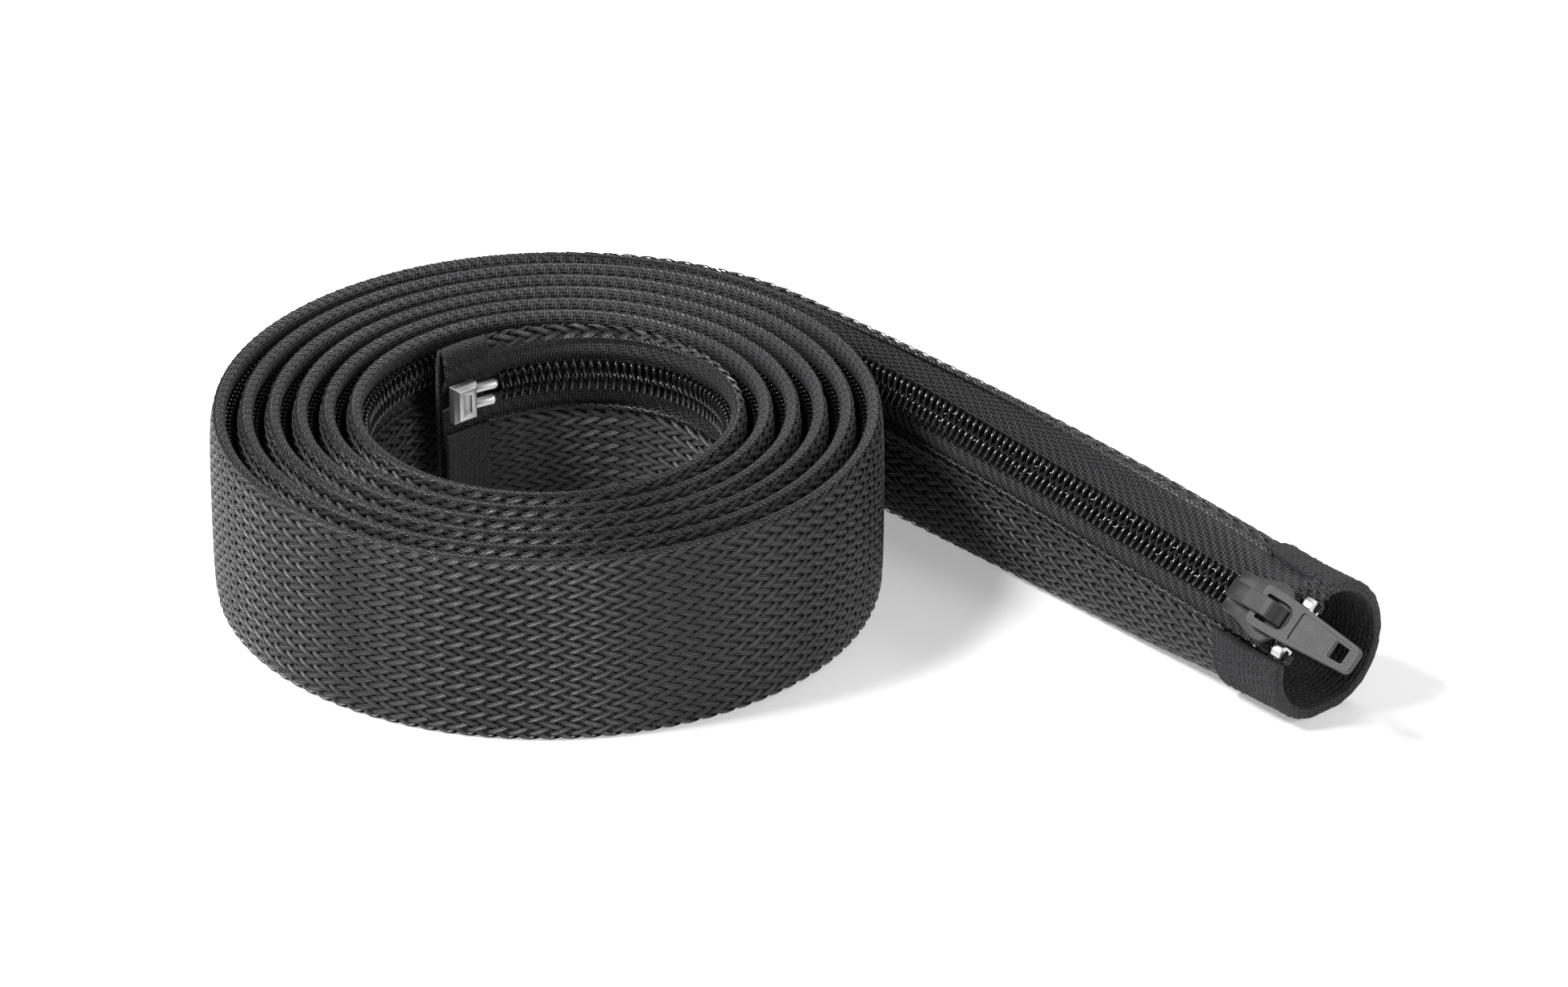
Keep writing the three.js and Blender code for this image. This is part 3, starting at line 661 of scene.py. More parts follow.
def filament_material():
    """Black filaments laid side by side in a bundle, each with its own gloss. The colour holds a painted
    highlight along each filament's crest, painted shade at the bundle's edges and where it dips under the
    crossing bundles, and random tone.
    """
    colour = bpy.context.scene.sleeve_braid.colour

    def build(tree, shader):
        split = add_node(tree, "ShaderNodeSeparateXYZ", {"Vector": uv_vector(tree)})
        lanes = calc(tree, "MULTIPLY", split.outputs["Y"], 4.0)
        # Painted highlight: each filament's crest is drawn lighter than its sides.
        ridge = wave(tree, lanes)
        # Painted shade: darker towards the bundle's edges, and darker where the stored level says the bundle
        # dips under the crossing ones; on the rim's strands, where they twist into each other.
        crown = wave(tree, split.outputs["Y"])
        painted_shade_level = add_node(tree, "ShaderNodeAttribute", attribute_name="rise").outputs["Fac"]
        painted_shade = calc(tree, "MULTIPLY", scaled(tree, painted_shade_level, 0.75, 0.25), crown)
        painted_glint, wide = calc(tree, "POWER", ridge, 1.5), calc(tree, "POWER", painted_shade, 1.3)
        lane = vector(tree, X=calc(tree, "MULTIPLY", split.outputs["X"], 60.0),
                      Y=calc(tree, "MULTIPLY", calc(tree, "FLOOR", lanes), 7.3))
        uneven = add_node(tree, "ShaderNodeTexNoise", {"Vector": lane, "Scale": 1.0, "Detail": 1.0}).outputs[0]
        # The colour mask: painted highlight times painted shade, times random tone along each filament.
        shade = calc(tree, "MULTIPLY", calc(tree, "MULTIPLY", painted_glint, wide), calc(tree, "POWER", uneven, 1.5))
        dress(tree, shader, colour, (0.06, 19.0), shade, scaled(tree, shade, -0.7, 0.42), ridge, 0.16)
    return material("black_filament", build)


def nylon_material():
    colour = bpy.context.scene.sleeve_chain.colour

    def build(tree, shader):
        mask, height = grained(tree, 5000.0).outputs
        dress(tree, shader, colour, (0.6, 1.5), mask, scaled(tree, mask, 0.12, 0.1), height, 0.01)
        shader.inputs["Coat Weight"].default_value = 0.4
        shader.inputs["Coat Roughness"].default_value = 0.08
    return material("glossy_nylon", build)


def tape_material():
    colour = bpy.context.scene.sleeve_cloth.tape_colour

    def build(tree, shader):
        threads, diagonal = twilled(tree, 0.55).outputs
        mask, fuzz = grained(tree, 3500.0).outputs
        # Painted shade: darker in the gaps between the twill's threads, times random grain.
        shade = calc(tree, "MULTIPLY", calc(tree, "POWER", diagonal, 1.6), fuzz)
        height = scaled(tree, fuzz, 0.4, threads)
        dress(tree, shader, colour, (0.15, 15.0), shade, scaled(tree, mask, 0.2, 0.5), height, 0.3)
    return material("black_woven_tape", build)


def binding_material():
    colour = bpy.context.scene.sleeve_cloth.binding_colour

    def build(tree, shader):
        threads = twilled(tree, 0.36).outputs["Height"]
        mask, fuzz = grained(tree, 2600.0).outputs
        # Painted shade: darker in the gaps between the knit's threads, times random grain.
        shade = calc(tree, "MULTIPLY", threads, fuzz)
        height = scaled(tree, fuzz, 0.9, threads)
        dress(tree, shader, colour, (0.15, 11.0), shade, scaled(tree, mask, 0.2, 0.68), height, 0.3)
    return material("black_knit_binding", build)


def enamel_material():
    """Dark satin enamel, with a painted highlight along its rounded edges and random grain in its tone."""
    colour = bpy.context.scene.sleeve_metal.enamel_colour

    def build(tree, shader):
        mask, fine = grained(tree, 5200.0).outputs
        # Painted highlight: lighter where the bevel's rounded normal turns from the face's own, along the
        # edges.
        soft = add_node(tree, "ShaderNodeBevel", {"Radius": 0.25 * MM}, samples=4).outputs[0]
        sharp = add_node(tree, "ShaderNodeNewGeometry").outputs["Normal"]
        alike = add_node(tree, "ShaderNodeVectorMath", {0: soft, 1: sharp}, operation="DOT_PRODUCT")
        edge = calc(tree, "MULTIPLY", calc(tree, "SUBTRACT", 1.0, alike.outputs["Value"]), 4.0)
        # The colour mask: the painted edge highlight plus random grain.
        unevenness = scaled(tree, mask, 0.3, calc(tree, "SMOOTH_MIN", edge, 1.0, 0.2))
        dress(tree, shader, colour, (0.7, 5.0), unevenness, scaled(tree, fine, 0.2, 0.42), fine, 0.02)
        shader.inputs["Metallic"].default_value = 0.1
    return material("dark_enamel", build)


def bright_metal_material():
    colour = bpy.context.scene.sleeve_metal.bright_colour

    def build(tree, shader):
        mask = grained(tree, 1500.0).outputs["Mask"]
        dress(tree, shader, colour, (0.65, 1.0), mask, scaled(tree, mask, 0.25, 0.3), mask, 0.12)
        shader.inputs["Metallic"].default_value = 1.0
    return material("bright_crimped_metal", build)


# The braid
def strand_guides(name, run_from, run_to, steps):
    """Guide lines of every bundle in a stretch of the sleeve, each going over two and under two.

    A bundle runs across the braid, turns at its edge and runs back. steps is how many points it has
    from one crossing to the next.
    """
    settings = bpy.context.scene.sleeve_braid
    count = settings.strands
    repeat = settings.repeat / MM
    points, normals, painted_shade_levels, edges = [], [], [], []
    for bundle in range(2 * count):
        first = math.ceil((run_from / repeat + bundle) * 2 * steps)
        last = math.floor((run_to / repeat + bundle) * 2 * steps)
        index = np.arange(first, last + 1)
        if len(index) < 2:
            continue
        phase = index / (2.0 * steps)
        runs = (phase - bundle) * repeat
        folded = np.mod(phase, 2 * count)
        rising = folded < count
        across = np.where(rising, folded, 2 * count - folded)
        rise = bundle_lift(across * 2, rising)
        lift = rise * settings.lift / MM
        upper, lower = upper_edge_at(runs) + 0.5, lower_edge_at(runs) - 0.5
        around = upper + (lower - upper) * across / count
        place, normal = wall.at(runs, around, lift)
        start = sum(len(p) for p in points)
        points.append(place)
        normals.append(normal)
        # Painted shade: the bundle's level, 0 under and 1 over, is kept as the attribute rise, and the
        # filament material draws the bundle darker where it dips under.
        painted_shade_levels.append(np.stack([0.5 + 0.5 * rise] * 3, -1))
        edges.extend((start + i, start + i + 1) for i in range(len(index) - 1))
    return guide_mesh(name, np.concatenate(points), edges, outward=np.concatenate(normals),
                      rise=np.concatenate(painted_shade_levels))


def bundle_lift(row, rising):
    """Up over two crossings and down under two; the bundles of the other direction do the opposite."""
    height = np.clip(np.sqrt(2) * np.sin((row + 0.5) * math.pi / 2), -1, 1)
    return np.where(rising, height, -height)


def tube_rings(centres, first, second, radius, sides):
    """Rings of points round a line, each in the plane of its two directions."""
    angles = np.arange(sides)[None, :, None] * 2 * math.pi / sides
    return centres[:, None] + radius * (np.cos(angles) * first[:, None] + np.sin(angles) * second[:, None])


def rim_rope(name, runs, edge, strands, sides):
    """The braid's edge: a few strands twisted round each other along a line at a distance round."""
    settings = bpy.context.scene.sleeve_braid
    radius = settings.rim_radius / MM
    quads, first, last = skin_faces(len(runs), sides)
    core = sleeve_frame(runs, edge, 0.0)[0]
    points, faces, uvs, painted_shade_levels = [], [], [], []
    for strand in range(strands):
        turn = 2 * math.pi * (runs * MM / settings.rim_pitch + strand / strands)
        around = edge + radius * 0.95 * np.cos(turn)
        centre, outward, along = sleeve_frame(runs, around, radius * 0.7 * np.sin(turn))
        ring = tube_rings(centre, outward, np.cross(outward, along), radius, sides)
        start = strand * len(runs) * sides
        points.append(ring.reshape(-1, 3))
        # Painted shade: each point's distance from the rope's core is kept as the attribute rise, so the
        # filament material draws the strands darker where they twist into each other.
        depth = np.linalg.norm(ring - core[:, None], axis=-1) / radius
        painted_shade_levels.append(smoothstep(depth, 1.0, 1.85).ravel())
        faces.extend((quads + start).tolist())
        faces.extend([[n + start for n in first], [n + start for n in last]])
        row = np.arange(len(runs) - 1)[:, None] * np.ones((1, sides), int)
        lane = np.ones((len(runs) - 1, 1), int) * np.arange(sides)[None, :]
        u = np.stack([runs[row], runs[row], runs[row + 1], runs[row + 1]], -1) * MM
        v = np.stack([lane, lane + 1, lane + 1, lane], -1) * 0.5 / sides + 0.25 + strand
        uvs.append(np.stack([u, v], -1).reshape(-1, 2))
        uvs.append(np.zeros((2 * sides, 2)))
    rope = mesh_object(name, np.concatenate(points), faces, np.concatenate(uvs))
    layer = rope.data.attributes.new("rise", "FLOAT_VECTOR", "POINT")
    layer.data.foreach_set("vector", np.repeat(np.concatenate(painted_shade_levels), 3).astype(np.float32))
    face_outwards(rope.data)
    rope.data.materials.append(filament_material())
    return rope


class SLEEVE_OT_braid(bpy.types.Operator):
    """Weaves the sleeve's braid from flat bundles of filaments"""

    bl_idname = "sleeve.braid"
    bl_label = "Braid"

    def execute(self, context):
        settings = context.scene.sleeve_braid
        tree = the_tree("flat_bundle", bundle_tree)
        middle = wall.run_of_turns(MIDDLE_TURNS)
        outer = wall.run_of_turns(NEAR_TURNS)
        last = INNER_END + INNER_BINDING_LENGTH - 1.0
        mouth = MOUTH_X - BINDING_LENGTH + 2.0
        stretches = [
            ("braid_straight_end", BRAID_SPLIT, mouth, 2, 5),
            ("braid_outer_turn", outer, BRAID_SPLIT, 2, 3),
            ("braid_middle_turns", middle, outer, 1, 3),
            ("braid_inner_turns", last, middle, 1, 3),
        ]
        for name, run_from, run_to, steps, corners in stretches:
            guide = strand_guides(name, run_from, run_to, steps)
            braid = made_by_tree(guide, tree, {
                "Width": settings.bundle_width, "Crown": settings.bundle_height, "Steps": corners,
                "Material": filament_material()})
            self.seat(braid)
        for name, edge_at, step, strands, sides in (
                ("upper_braid_rim", upper_edge_at, 0.75, 3, 5),
                ("lower_braid_rim", lower_edge_at, 1.2, 2, 4)):
            runs = np.arange(last, mouth, step)
            self.seat(rim_rope(name, runs, edge_at(runs), strands, sides))
        return {"FINISHED"}

    @staticmethod
    def seat(piece):
        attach(piece, "sleeve")
        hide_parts("braided_sleeve")


# The zip chain
def loop_path(side):
    """One turn of the wound wire, from outer bend to outer bend, in (along, round, outward)."""
    low, head = -0.34, -0.36
    path = np.array([
        (-0.62, 2.62, 0.30), (-0.60, 2.60, 0.85), (-0.42, 2.25, 1.16), (-0.24, 1.2, 1.18),
        (-0.08, 0.2, 1.12), (0.0, head, 0.75), (0.03, head, 0.10), (0.12, 0.2, -0.30),
        (0.30, 1.2, low), (0.62, 2.25, low), (0.86, 2.6, -0.05), (0.92, 2.62, 0.30)])
    path[:, 0] -= 0.15
    path[:, 1] *= side
    return path


def loop_shape(name, side, sides, radius):
    """The wire loop as a closed tube."""
    path = loop_path(side)
    ahead = unit(np.gradient(path, axis=0))
    across = unit(np.cross(ahead, np.array([1.0, 0.0, 0.05])))
    rings = tube_rings(path, across, np.cross(ahead, across), radius, sides)
    uvs = np.zeros((len(path), sides + 1, 2))
    uvs[..., 0] = np.arange(len(path))[:, None]
    uvs[..., 1] = np.arange(sides + 1)[None, :]
    return swept(name, rings, uvs)


def chain_runs(run_from, run_to, shift):
    """Places along the chain's own line, one tooth pitch apart."""
    fine = np.linspace(INNER_END, MOUTH_X, 6000)
    at = distances(wall.at(fine, 0.0, 0.5)[0])
    runs = np.interp(np.arange(shift, at[-1], TOOTH_PITCH), at, fine)
    return runs[(runs >= run_from) & (runs < run_to)]


def sleeve_frame(runs, around, lift):
    """Points on the sleeve with their outward and along directions."""
    place, outward = wall.at(runs, around, lift)
    ahead, _ = wall.at(np.asarray(runs) + 0.5, around, lift)
    behind, _ = wall.at(np.asarray(runs) - 0.5, around, lift)
    along = ahead - behind
    along -= (along * outward).sum(-1)[:, None] * outward
    return place, outward, unit(along)


def set_along(name, shape, runs, around, lift, made_of):
    place, outward, along = sleeve_frame(runs, around, lift)
    guide = guide_mesh(name, place, outward=outward, along=along, size=np.ones_like(place))
    return made_by_tree(guide, the_tree("set_along", placing_tree), {"Shape": shape, "Material": made_of})


class SLEEVE_OT_chain(bpy.types.Operator):
    """Winds both rows of the zip chain, one wire loop for each tooth"""

    bl_idname = "sleeve.chain"
    bl_label = "Zip chain"

    def execute(self, context):
        radius = context.scene.sleeve_chain.wire / MM
        near = wall.run_of_turns(NEAR_TURNS)
        for side, row in ((1, "upper"), (-1, "lower")):
            shift = 0.0 if side > 0 else TOOTH_PITCH / 2
            for part, run_from, run_to, sides in (
                    ("outer", near, MOUTH_X - CHAIN_TO_MOUTH, 6),
                    ("inner", INNER_END + CHAIN_FROM_INNER_END, near, 4)):
                shape = loop_shape("one_loop", side, sides, radius)
                runs = chain_runs(run_from, run_to, shift)
                row_piece = set_along(
                    f"{row}_chain_{part}", shape, runs, side * spread(runs), 0.0, nylon_material())
                bpy.data.objects.remove(shape)
                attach(row_piece, "sleeve")
                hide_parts(f"{row}_tooth_row")
        return {"FINISHED"}


# The tapes
def crumple(runs, around):
    """Uneven folds between -1 and 1, for cloth that was cut and melted at its end."""
    slow = np.sin(1.9 * runs + 1.3 * around) + np.sin(0.9 * runs - 2.3 * around + 1.0)
    quick = np.sin(4.1 * runs + 2.9 * around + 2.0) + np.sin(3.3 * runs - 5.1 * around)
    return 0.3 * slow + 0.2 * quick


def tape_runs():
    coil = np.linspace(INNER_END + 0.4, 0, 660)
    straight = np.arange(1.0, MOUTH_X - MELTED_LENGTH, 1.0)
    melted = np.arange(MOUTH_X - MELTED_LENGTH, MOUTH_X + 1.7, 0.3)
    return np.concatenate([coil, straight, melted])


def tape_piece(name, runs, around, level, half):
    """A woven strip through (runs, across) distances round and levels, with its edges closed."""
    upper, normal = wall.at(runs[:, None], around, level + half)
    lower, _ = wall.at(runs[:, None], around, level - half)
    rings = np.concatenate([upper, lower[:, ::-1]], axis=1)
    round_uv = np.concatenate([around, around[:, ::-1], around[:, :1]], axis=1)
    uvs = np.stack([np.broadcast_to(runs[:, None], round_uv.shape), round_uv], -1)
    return swept(name, rings, uvs)


class SLEEVE_OT_tapes(bpy.types.Operator):
    """Lays the two woven tapes beside the zip chain"""

    bl_idname = "sleeve.tapes"
    bl_label = "Zip tapes"

    def execute(self, context):
        runs = tape_runs()
        apart = spread(runs)
        fill = fullness_at(runs)
        share = np.linspace(0, 1, 13)[None, :]
        first = TAPE_EDGE + apart
        last = upper_edge_at(runs) + 0.6
        around = first[:, None] + (last - first)[:, None] * share
        middle = lerp(0.05, -0.5, fill)[:, None]
        level = np.where(share < 0.55, TAPE_LEVEL + (middle - TAPE_LEVEL) * smoothstep(share, 0, 0.55),
                         middle + (-0.28 - middle) * smoothstep(share, 0.55, 1))
        level = level + self.melted(runs, around)
        upper = tape_piece("upper_woven_tape", runs, around, level, TAPE_THICKNESS / 2)
        narrow = smoothstep(runs, 106, 109.5)
        last = -lerp(LOWER_TAPE_END, LOWER_BRAID_EDGE - 0.35, narrow)
        first = -TAPE_EDGE - apart
        around = first[:, None] + (last - first)[:, None] * share
        level = TAPE_LEVEL + self.melted(runs, around)
        lower = tape_piece("lower_woven_tape", runs, around, level, TAPE_THICKNESS / 2)
        for piece, node in ((upper, "upper_zip_tape"), (lower, "lower_zip_tape")):
            piece.data.materials.append(tape_material())
            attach(piece, "sleeve")
            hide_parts(node)
        return {"FINISHED"}

    @staticmethod
    def melted(runs, around):
        """How far the tapes' melted ends stand up beside the stops."""
        beside = smoothstep(np.abs(around), 5.6, 6.6) * smoothstep(runs, 119.0, 122.0)[:, None]
        return 0.85 * beside * (1 + crumple(runs[:, None] * 1.6, around * 1.6))


# The bindings
def band_piece(name, rings, travelled, arounds, node):
    """A band through closed rings, from how far each ring's points have travelled round it."""
    uvs = np.stack(np.broadcast_arrays(travelled[None, :], arounds[:, None]), -1)
    piece = swept(name, rings, uvs)
    piece.data.materials.append(binding_material())
    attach(piece, "sleeve")
    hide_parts(node)


def folded_band(name, runs_out, half, arounds, ribs, node):
    """A knitted band folded over the sleeve's end: along its outside, over the rim and back inside."""
    runs_in = runs_out[::-1]
    rim = max(runs_out[-1], runs_in[0])
    turn = np.linspace(90, -90, 9)[1:-1]
    rim_runs = rim + half * 0.55 * np.cos(np.radians(turn))
    rim_lifts = half * np.sin(np.radians(turn))
    runs = np.concatenate([runs_out, rim_runs, runs_in])
    lifts = np.concatenate([np.full(len(runs_out), half), rim_lifts, np.full(len(runs_in), -half)])
    travelled = np.concatenate([[0], np.cumsum(np.hypot(np.diff(runs), np.diff(lifts)))])
    ridge = 0.13 * np.sin(2 * math.pi * travelled / ribs)
    direction = np.where(lifts >= 0, 1.0, -1.0)
    profile = lifts + ridge * direction
    unevenness = 0.16 * crumple(runs[None, :] * 1.3, arounds[:, None] * 0.9) * (np.abs(lifts) > half * 0.3)
    place, _ = wall.at(runs[None, :], arounds[:, None], profile[None, :] + unevenness * direction)
    band_piece(name, place, np.concatenate([travelled, travelled[:1]]), arounds, node)


class SLEEVE_OT_bindings(bpy.types.Operator):
    """Folds the knitted binding over the mouth and the inner end"""

    bl_idname = "sleeve.bindings"
    bl_label = "Bindings"

    def execute(self, context):
        start = MOUTH_X - BINDING_LENGTH
        out = np.arange(start, MOUTH_X + 0.01, 0.25)
        mouth_round = float(wall.round_at(MOUTH_X))
        arounds = np.linspace(UPPER_BRAID_EDGE_AT_MOUTH - 0.1, mouth_round - LOWER_BRAID_EDGE - 0.1, 90)
        folded_band("mouth_knit_binding", out, BINDING_HALF - 0.12, arounds, 1.05, "mouth_binding")
        back = INNER_END + INNER_BINDING_LENGTH
        out = np.arange(back, INNER_END + 0.3, -0.3)
        inner_round = float(wall.round_at(INNER_END))
        arounds = np.linspace(UPPER_BRAID_EDGE, inner_round - LOWER_BRAID_EDGE, 70)
        inner_band("inner_knit_binding", out, arounds)
        return {"FINISHED"}


def inner_band(name, out, arounds):
    """The binding at the coil's inner end, a flat ribbed band whose ribs stand across the sleeve."""
    travelled = np.abs(out - out[0])
    ridge = 0.1 * np.sin(2 * math.pi * travelled / 1.0)
    half = INNER_BINDING_HALF - 0.1
    upper, _ = wall.at(out[None, :], arounds[:, None], half + ridge[None, :])
    lower, _ = wall.at(out[None, :], arounds[:, None], -half)
    rings = np.concatenate([upper, lower[:, ::-1]], axis=1)
    there = np.concatenate([travelled, travelled[::-1], travelled[:1]])
    band_piece(name, rings, there, arounds, "inner_end_binding")


# The metal
def softened(node, name, width, made_of, body):
    """A copy of a CAD node with its doubles merged and its edges rounded, in place of the node."""
    work = bmesh.new()
    work.from_mesh(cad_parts[node].data)
    bmesh.ops.remove_doubles(work, verts=work.verts, dist=0.00002)
    bmesh.ops.dissolve_limit(work, angle_limit=math.radians(2), verts=work.verts, edges=work.edges)
    mesh = bpy.data.meshes.new(name)
    work.to_mesh(mesh)
    work.free()
    mesh.polygons.foreach_set("use_smooth", np.full(len(mesh.polygons), True))
    piece = linked(name, mesh)
    rounding = piece.modifiers.new("edges", "BEVEL")
    rounding.width = width * MM
    rounding.segments = 2
    rounding.limit_method = "ANGLE"
    rounding.angle_limit = math.radians(28)
    rounding.harden_normals = True
    piece.data.materials.clear()
    piece.data.materials.append(made_of)
    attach(piece, body)
    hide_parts(node)


def rounded(corners, radii, steps=5):
    """A closed outline of these corners, each drawn in to a curve that starts its radius away."""
    corners = np.array(corners, float)
    share = np.linspace(0, 1, steps)[:, None]
    made = []
    backs, aheads = np.roll(corners, 1, 0) - corners, np.roll(corners, -1, 0) - corners
    for corner, back, ahead, radius in zip(corners, backs, aheads, radii):
        start = corner + back * min(radius / np.linalg.norm(back), 0.48)
        end = corner + ahead * min(radius / np.linalg.norm(ahead), 0.48)
        made.append((1 - share) ** 2 * start + 2 * share * (1 - share) * corner + share**2 * end)
    return np.concatenate(made)


def mirrored(corners, radii):
    """A closed outline from its far side's corners, the same on both sides of the X axis."""
    near = [(x, -y) for x, y in corners]
    return rounded(near + corners[::-1], (*radii, *radii[::-1]))


def plate(outlines, low, high, edge):
    """A flat plate between two levels with softened edges. The outlines after the first are holes."""
    curve = bpy.data.curves.new("outline", "CURVE")
    curve.dimensions = "2D"
    curve.fill_mode = "BOTH"
    curve.extrude = ((high - low) / 2 - edge) * MM
    curve.bevel_depth = edge * MM
    curve.offset = -edge * MM
    curve.bevel_resolution = 1
    for number, outline in enumerate(outlines):
        path = outline if number == 0 else outline[::-1]
        spline = curve.splines.new("POLY")
        spline.points.add(len(path) - 1)
        flat = np.column_stack([path * MM, np.zeros(len(path)), np.ones(len(path))])
        spline.points.foreach_set("co", flat.ravel())
        spline.use_cyclic_u = True
    holder = linked("outline", curve)
    mesh = plain_mesh(holder)
    bpy.data.objects.remove(holder)
    mesh.transform(Matrix.Translation((0, 0, (low + high) / 2 * MM)))
    return mesh


def joined(name, parts, made_of):
    """One piece from meshes, each given with its own placing matrix."""
    work = bmesh.new()
    for mesh, placing in parts:
        mesh.transform(placing)
        work.from_mesh(mesh)
    bmesh.ops.remove_doubles(work, verts=work.verts, dist=0.000005)
    bmesh.ops.recalc_face_normals(work, faces=work.faces)
    whole = bpy.data.meshes.new(name)
    work.to_mesh(whole)
    work.free()
    whole.polygons.foreach_set("use_smooth", np.full(len(whole.polygons), False))
    whole.materials.append(made_of)
    return linked(name, whole)


def slider_placing():
    """The slider's own frame: X along the chain towards the mouth, Z outwards."""
    place, outward, along = (values[0] for values in sleeve_frame(np.array([SLIDER_X]), 0.0, 0.0))
    across = np.cross(outward, along)
    return Matrix([[along[k], across[k], outward[k], place[k] * MM] for k in range(3)] + [[0, 0, 0, 1]])


def crown_piece():
    """The arch over the pull tab's bar, as long as the slider's body."""
    arch = rounded([(-5.3, 2.9), (-5.3, 4.7), (-3.6, CROWN_TOP), (5.0, CROWN_TOP), (6.2, 5.4), (6.2, 2.9)],
                   (0, 1.2, 1.8, 1.2, 1.0, 0))
    window = rounded([(-2.0, 3.05), (-0.9, CROWN_TOP - 0.95), (5.2, CROWN_TOP - 0.95), (5.2, 3.05)],
                     (0.1, 0.8, 0.6, 0.1))
    upright = Matrix.Rotation(math.radians(90), 4, "X")
    mesh = plate([arch, window], -CROWN_HALF_WIDTH, CROWN_HALF_WIDTH, 0.16)
    return joined("slider_crown", [(mesh, slider_placing() @ upright)], enamel_material())


def tab_piece():
    """The pull tab: a tapered plate with an eye round the crown, a sunk panel and a window."""
    outline = mirrored([(-0.65, 3.85), (5.2, 3.75), (21.35, 2.45)], (1.2, 3.0, 1.3))
    eye = mirrored([(0.65, 2.35), (6.8, 2.35)], (0.4, 2.2))
    window = mirrored([(16.2, 1.55), (19.2, 1.4)], (0.3, 0.3))
    panel = mirrored([(8.2, 2.65), (20.2, 1.75)], (0.6, 0.5))
    half = TAB_THICKNESS / 2
    pivot = Matrix.Translation((PIVOT_X * MM, 0, PIVOT_Z * MM))
    placing = slider_placing() @ pivot @ Matrix.Rotation(TAB_REST, 4, "Y")
    layers = [(plate([outline, eye, window], -half, half - 0.3, 0.1), placing),
              (plate([outline, eye, panel], half - 0.45, half, 0.1), placing)]
    return joined("pull_tab_plate", layers, enamel_material())


class SLEEVE_OT_metal(bpy.types.Operator):
    """Finishes the slider, pull tab, stops, retainer box and pins"""

    bl_idname = "sleeve.metal"
    bl_label = "Metal"

    def execute(self, context):
        softened("slider_body", "slider_shell", 0.12, enamel_material(), "slider")
        for piece, body, node in (
                (crown_piece(), "slider", "slider_body"), (tab_piece(), "pull_tab", "pull_tab")):
            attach(piece, body)
            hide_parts(node)
        for node, name, width in (
                ("upper_top_stop", "upper_stop_clip", 0.15), ("lower_top_stop", "lower_stop_clip", 0.15),
                ("retainer_box", "retainer_box_cast", 0.12), ("upper_retainer_pin", "upper_pin_tube", 0.1),
                ("lower_retainer_pin", "lower_pin_tube", 0.1)):
            softened(node, name, width, bright_metal_material(), "sleeve")
        return {"FINISHED"}


# The stage
def area_light(name, size, power, place):
    lamp = bpy.data.lights.new(name, "AREA")
    lamp.shape = "RECTANGLE"
    lamp.size, lamp.size_y = size
    lamp.energy = power
    light = linked(name, lamp)
    light.location = place
    light.rotation_euler = (Vector(LIGHT_AIM) - Vector(place)).to_track_quat("-Z", "Y").to_euler()


def floor_material(colour):
    def build(tree, shader):
        path = add_node(tree, "ShaderNodeLightPath")
        colour_by(tree, shader, colour, (0.995, 1.0), grained(tree, 40.0).outputs["Mask"])
        shader.inputs["Roughness"].default_value = 0.9
        shader.inputs["Emission Color"].default_value = (1, 1, 1, 1)
        seen = calc(tree, "MAXIMUM", path.outputs["Is Camera Ray"], path.outputs["Is Glossy Ray"])
        tree.links.new(calc(tree, "MULTIPLY", seen, 0.35), shader.inputs["Emission Strength"])
    return material("pale_floor", build)


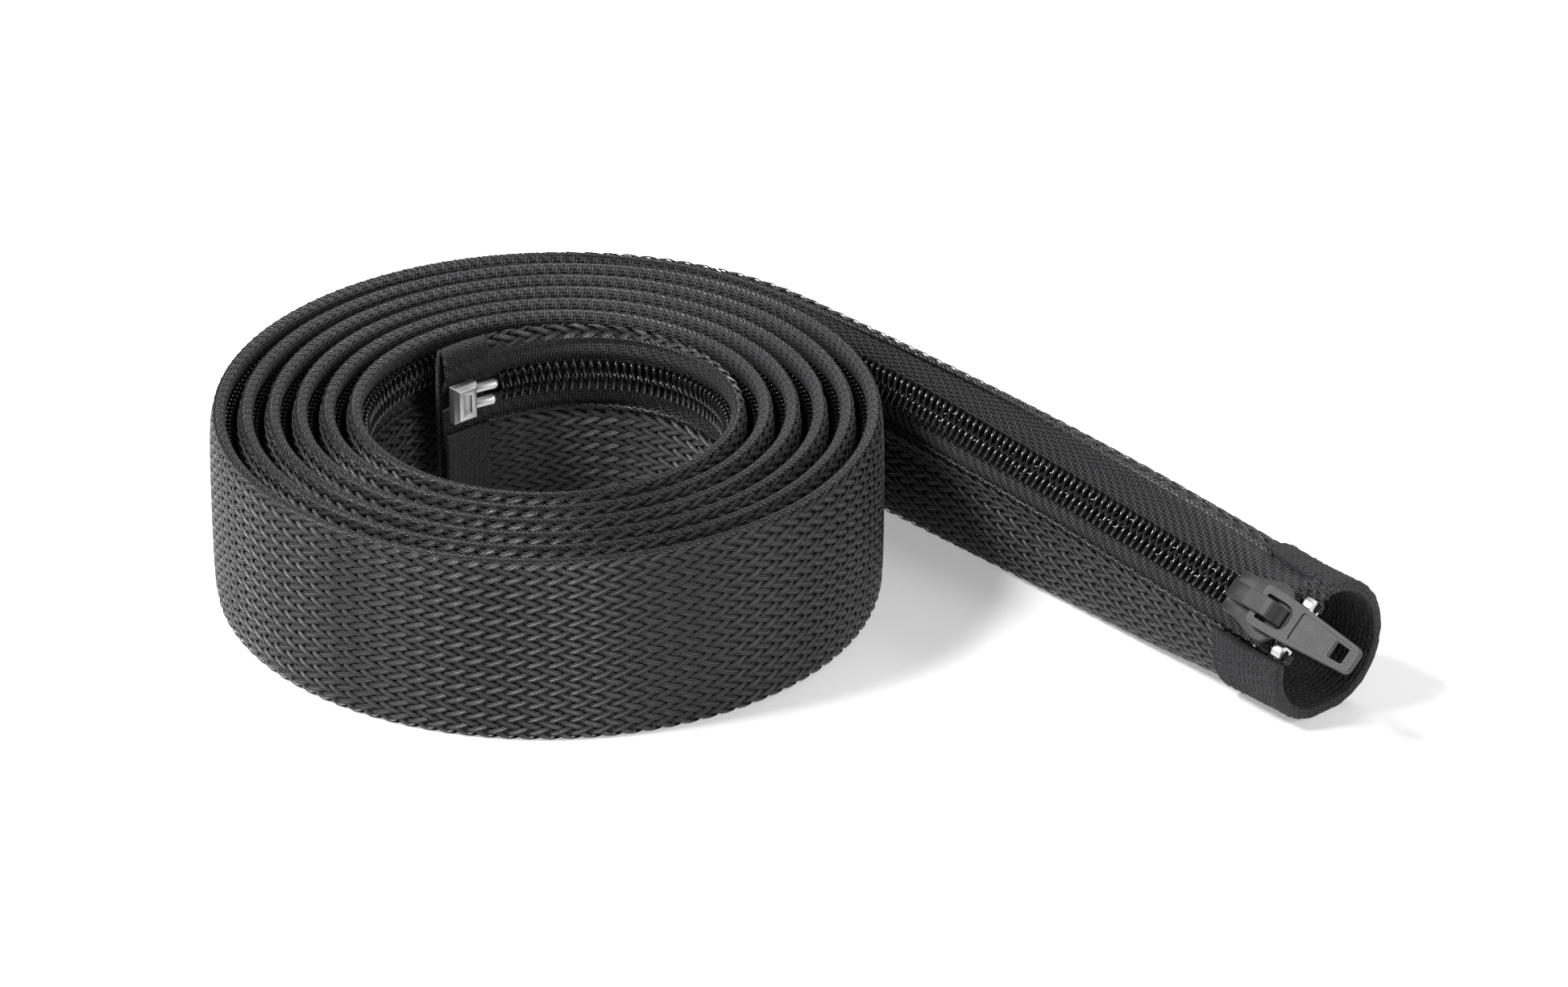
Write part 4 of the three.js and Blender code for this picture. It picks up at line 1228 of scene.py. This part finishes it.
class SLEEVE_OT_stage(bpy.types.Operator):
    """Sets the floor, the lights, the world and the camera"""

    bl_idname = "sleeve.stage"
    bl_label = "Stage"

    def execute(self, context):
        settings = context.scene.sleeve_stage
        corners = [(x * FLOOR_HALF, y * FLOOR_HALF, 0) for x, y in ((-1, -1), (1, -1), (1, 1), (-1, 1))]
        floor = mesh_object("floor", corners, [(0, 1, 2, 3)], smooth=False)
        floor.data.materials.append(floor_material(tuple(settings.floor_colour)))
        area_light("key", (0.4, 0.4), settings.key_power, (-0.5, -0.9, 1.3))
        area_light("back", (1.2, 0.5), settings.fill_power, (-0.4, 1.2, 0.9))
        area_light("side", (0.5, 0.9), settings.fill_power, (1.3, 0.4, 0.8))
        world = bpy.data.worlds.new("studio")
        world.use_nodes = True
        tree = world.node_tree
        background = next(n for n in tree.nodes if n.type == "BACKGROUND")
        path = add_node(tree, "ShaderNodeLightPath")
        seen = calc(tree, "MAXIMUM", path.outputs["Is Camera Ray"], path.outputs["Is Transmission Ray"])
        tree.links.new(scaled(tree, seen, 1 - WORLD_SHARE, WORLD_SHARE), background.inputs["Strength"])
        background.inputs["Color"].default_value = (1, 1, 1, 1)
        context.scene.world = world
        context.scene.view_settings.view_transform = "Standard"
        self.place_camera(context, settings.lens)
        return {"FINISHED"}

    def place_camera(self, context, lens):
        """The photograph's view: 48 degrees round and 28 degrees above the floor."""
        camera = bpy.data.cameras.new("camera")
        camera.sensor_width = 36.0
        camera.lens = lens
        camera.clip_start, camera.clip_end = 0.05, 20
        holder = linked("camera", camera)
        holder.location = CAMERA_PLACE
        holder.rotation_euler = (Vector(CAMERA_AIM) - holder.location).to_track_quat("-Z", "Y").to_euler()
        context.scene.camera = holder


class SLEEVE_PT_panel(bpy.types.Panel):
    """Lists the sleeve's pieces and their settings"""

    bl_idname = "SLEEVE_PT_panel"
    bl_label = "Cable sleeve"
    bl_space_type = "VIEW_3D"
    bl_region_type = "UI"
    bl_category = "Cable Sleeve"

    def draw(self, context):
        for group in GROUPS:
            box = self.layout.box()
            settings = getattr(context.scene, group)
            for field in GROUPS[group].__annotations__:
                box.prop(settings, field)
        for operator in OPERATORS:
            self.layout.operator(operator.bl_idname)


GROUPS = {
    "sleeve_braid": BraidSettings,
    "sleeve_chain": ChainSettings,
    "sleeve_cloth": ClothSettings,
    "sleeve_metal": MetalSettings,
    "sleeve_stage": StageSettings,
}
OPERATORS = (
    SLEEVE_OT_stage, SLEEVE_OT_braid, SLEEVE_OT_chain,
    SLEEVE_OT_tapes, SLEEVE_OT_bindings, SLEEVE_OT_metal)


def register():
    for kind in (*GROUPS.values(), *OPERATORS, SLEEVE_PT_panel):
        bpy.utils.register_class(kind)
    for name, kind in GROUPS.items():
        setattr(bpy.types.Scene, name, PointerProperty(type=kind))


def unregister():
    for name in GROUPS:
        delattr(bpy.types.Scene, name)
    for kind in reversed((*GROUPS.values(), *OPERATORS, SLEEVE_PT_panel)):
        bpy.utils.unregister_class(kind)


def main():
    register()
    bpy.ops.sleeve.stage()
    bpy.ops.sleeve.braid()
    bpy.ops.sleeve.chain()
    bpy.ops.sleeve.tapes()
    bpy.ops.sleeve.bindings()
    bpy.ops.sleeve.metal()


if __name__ == "__main__":
    main()
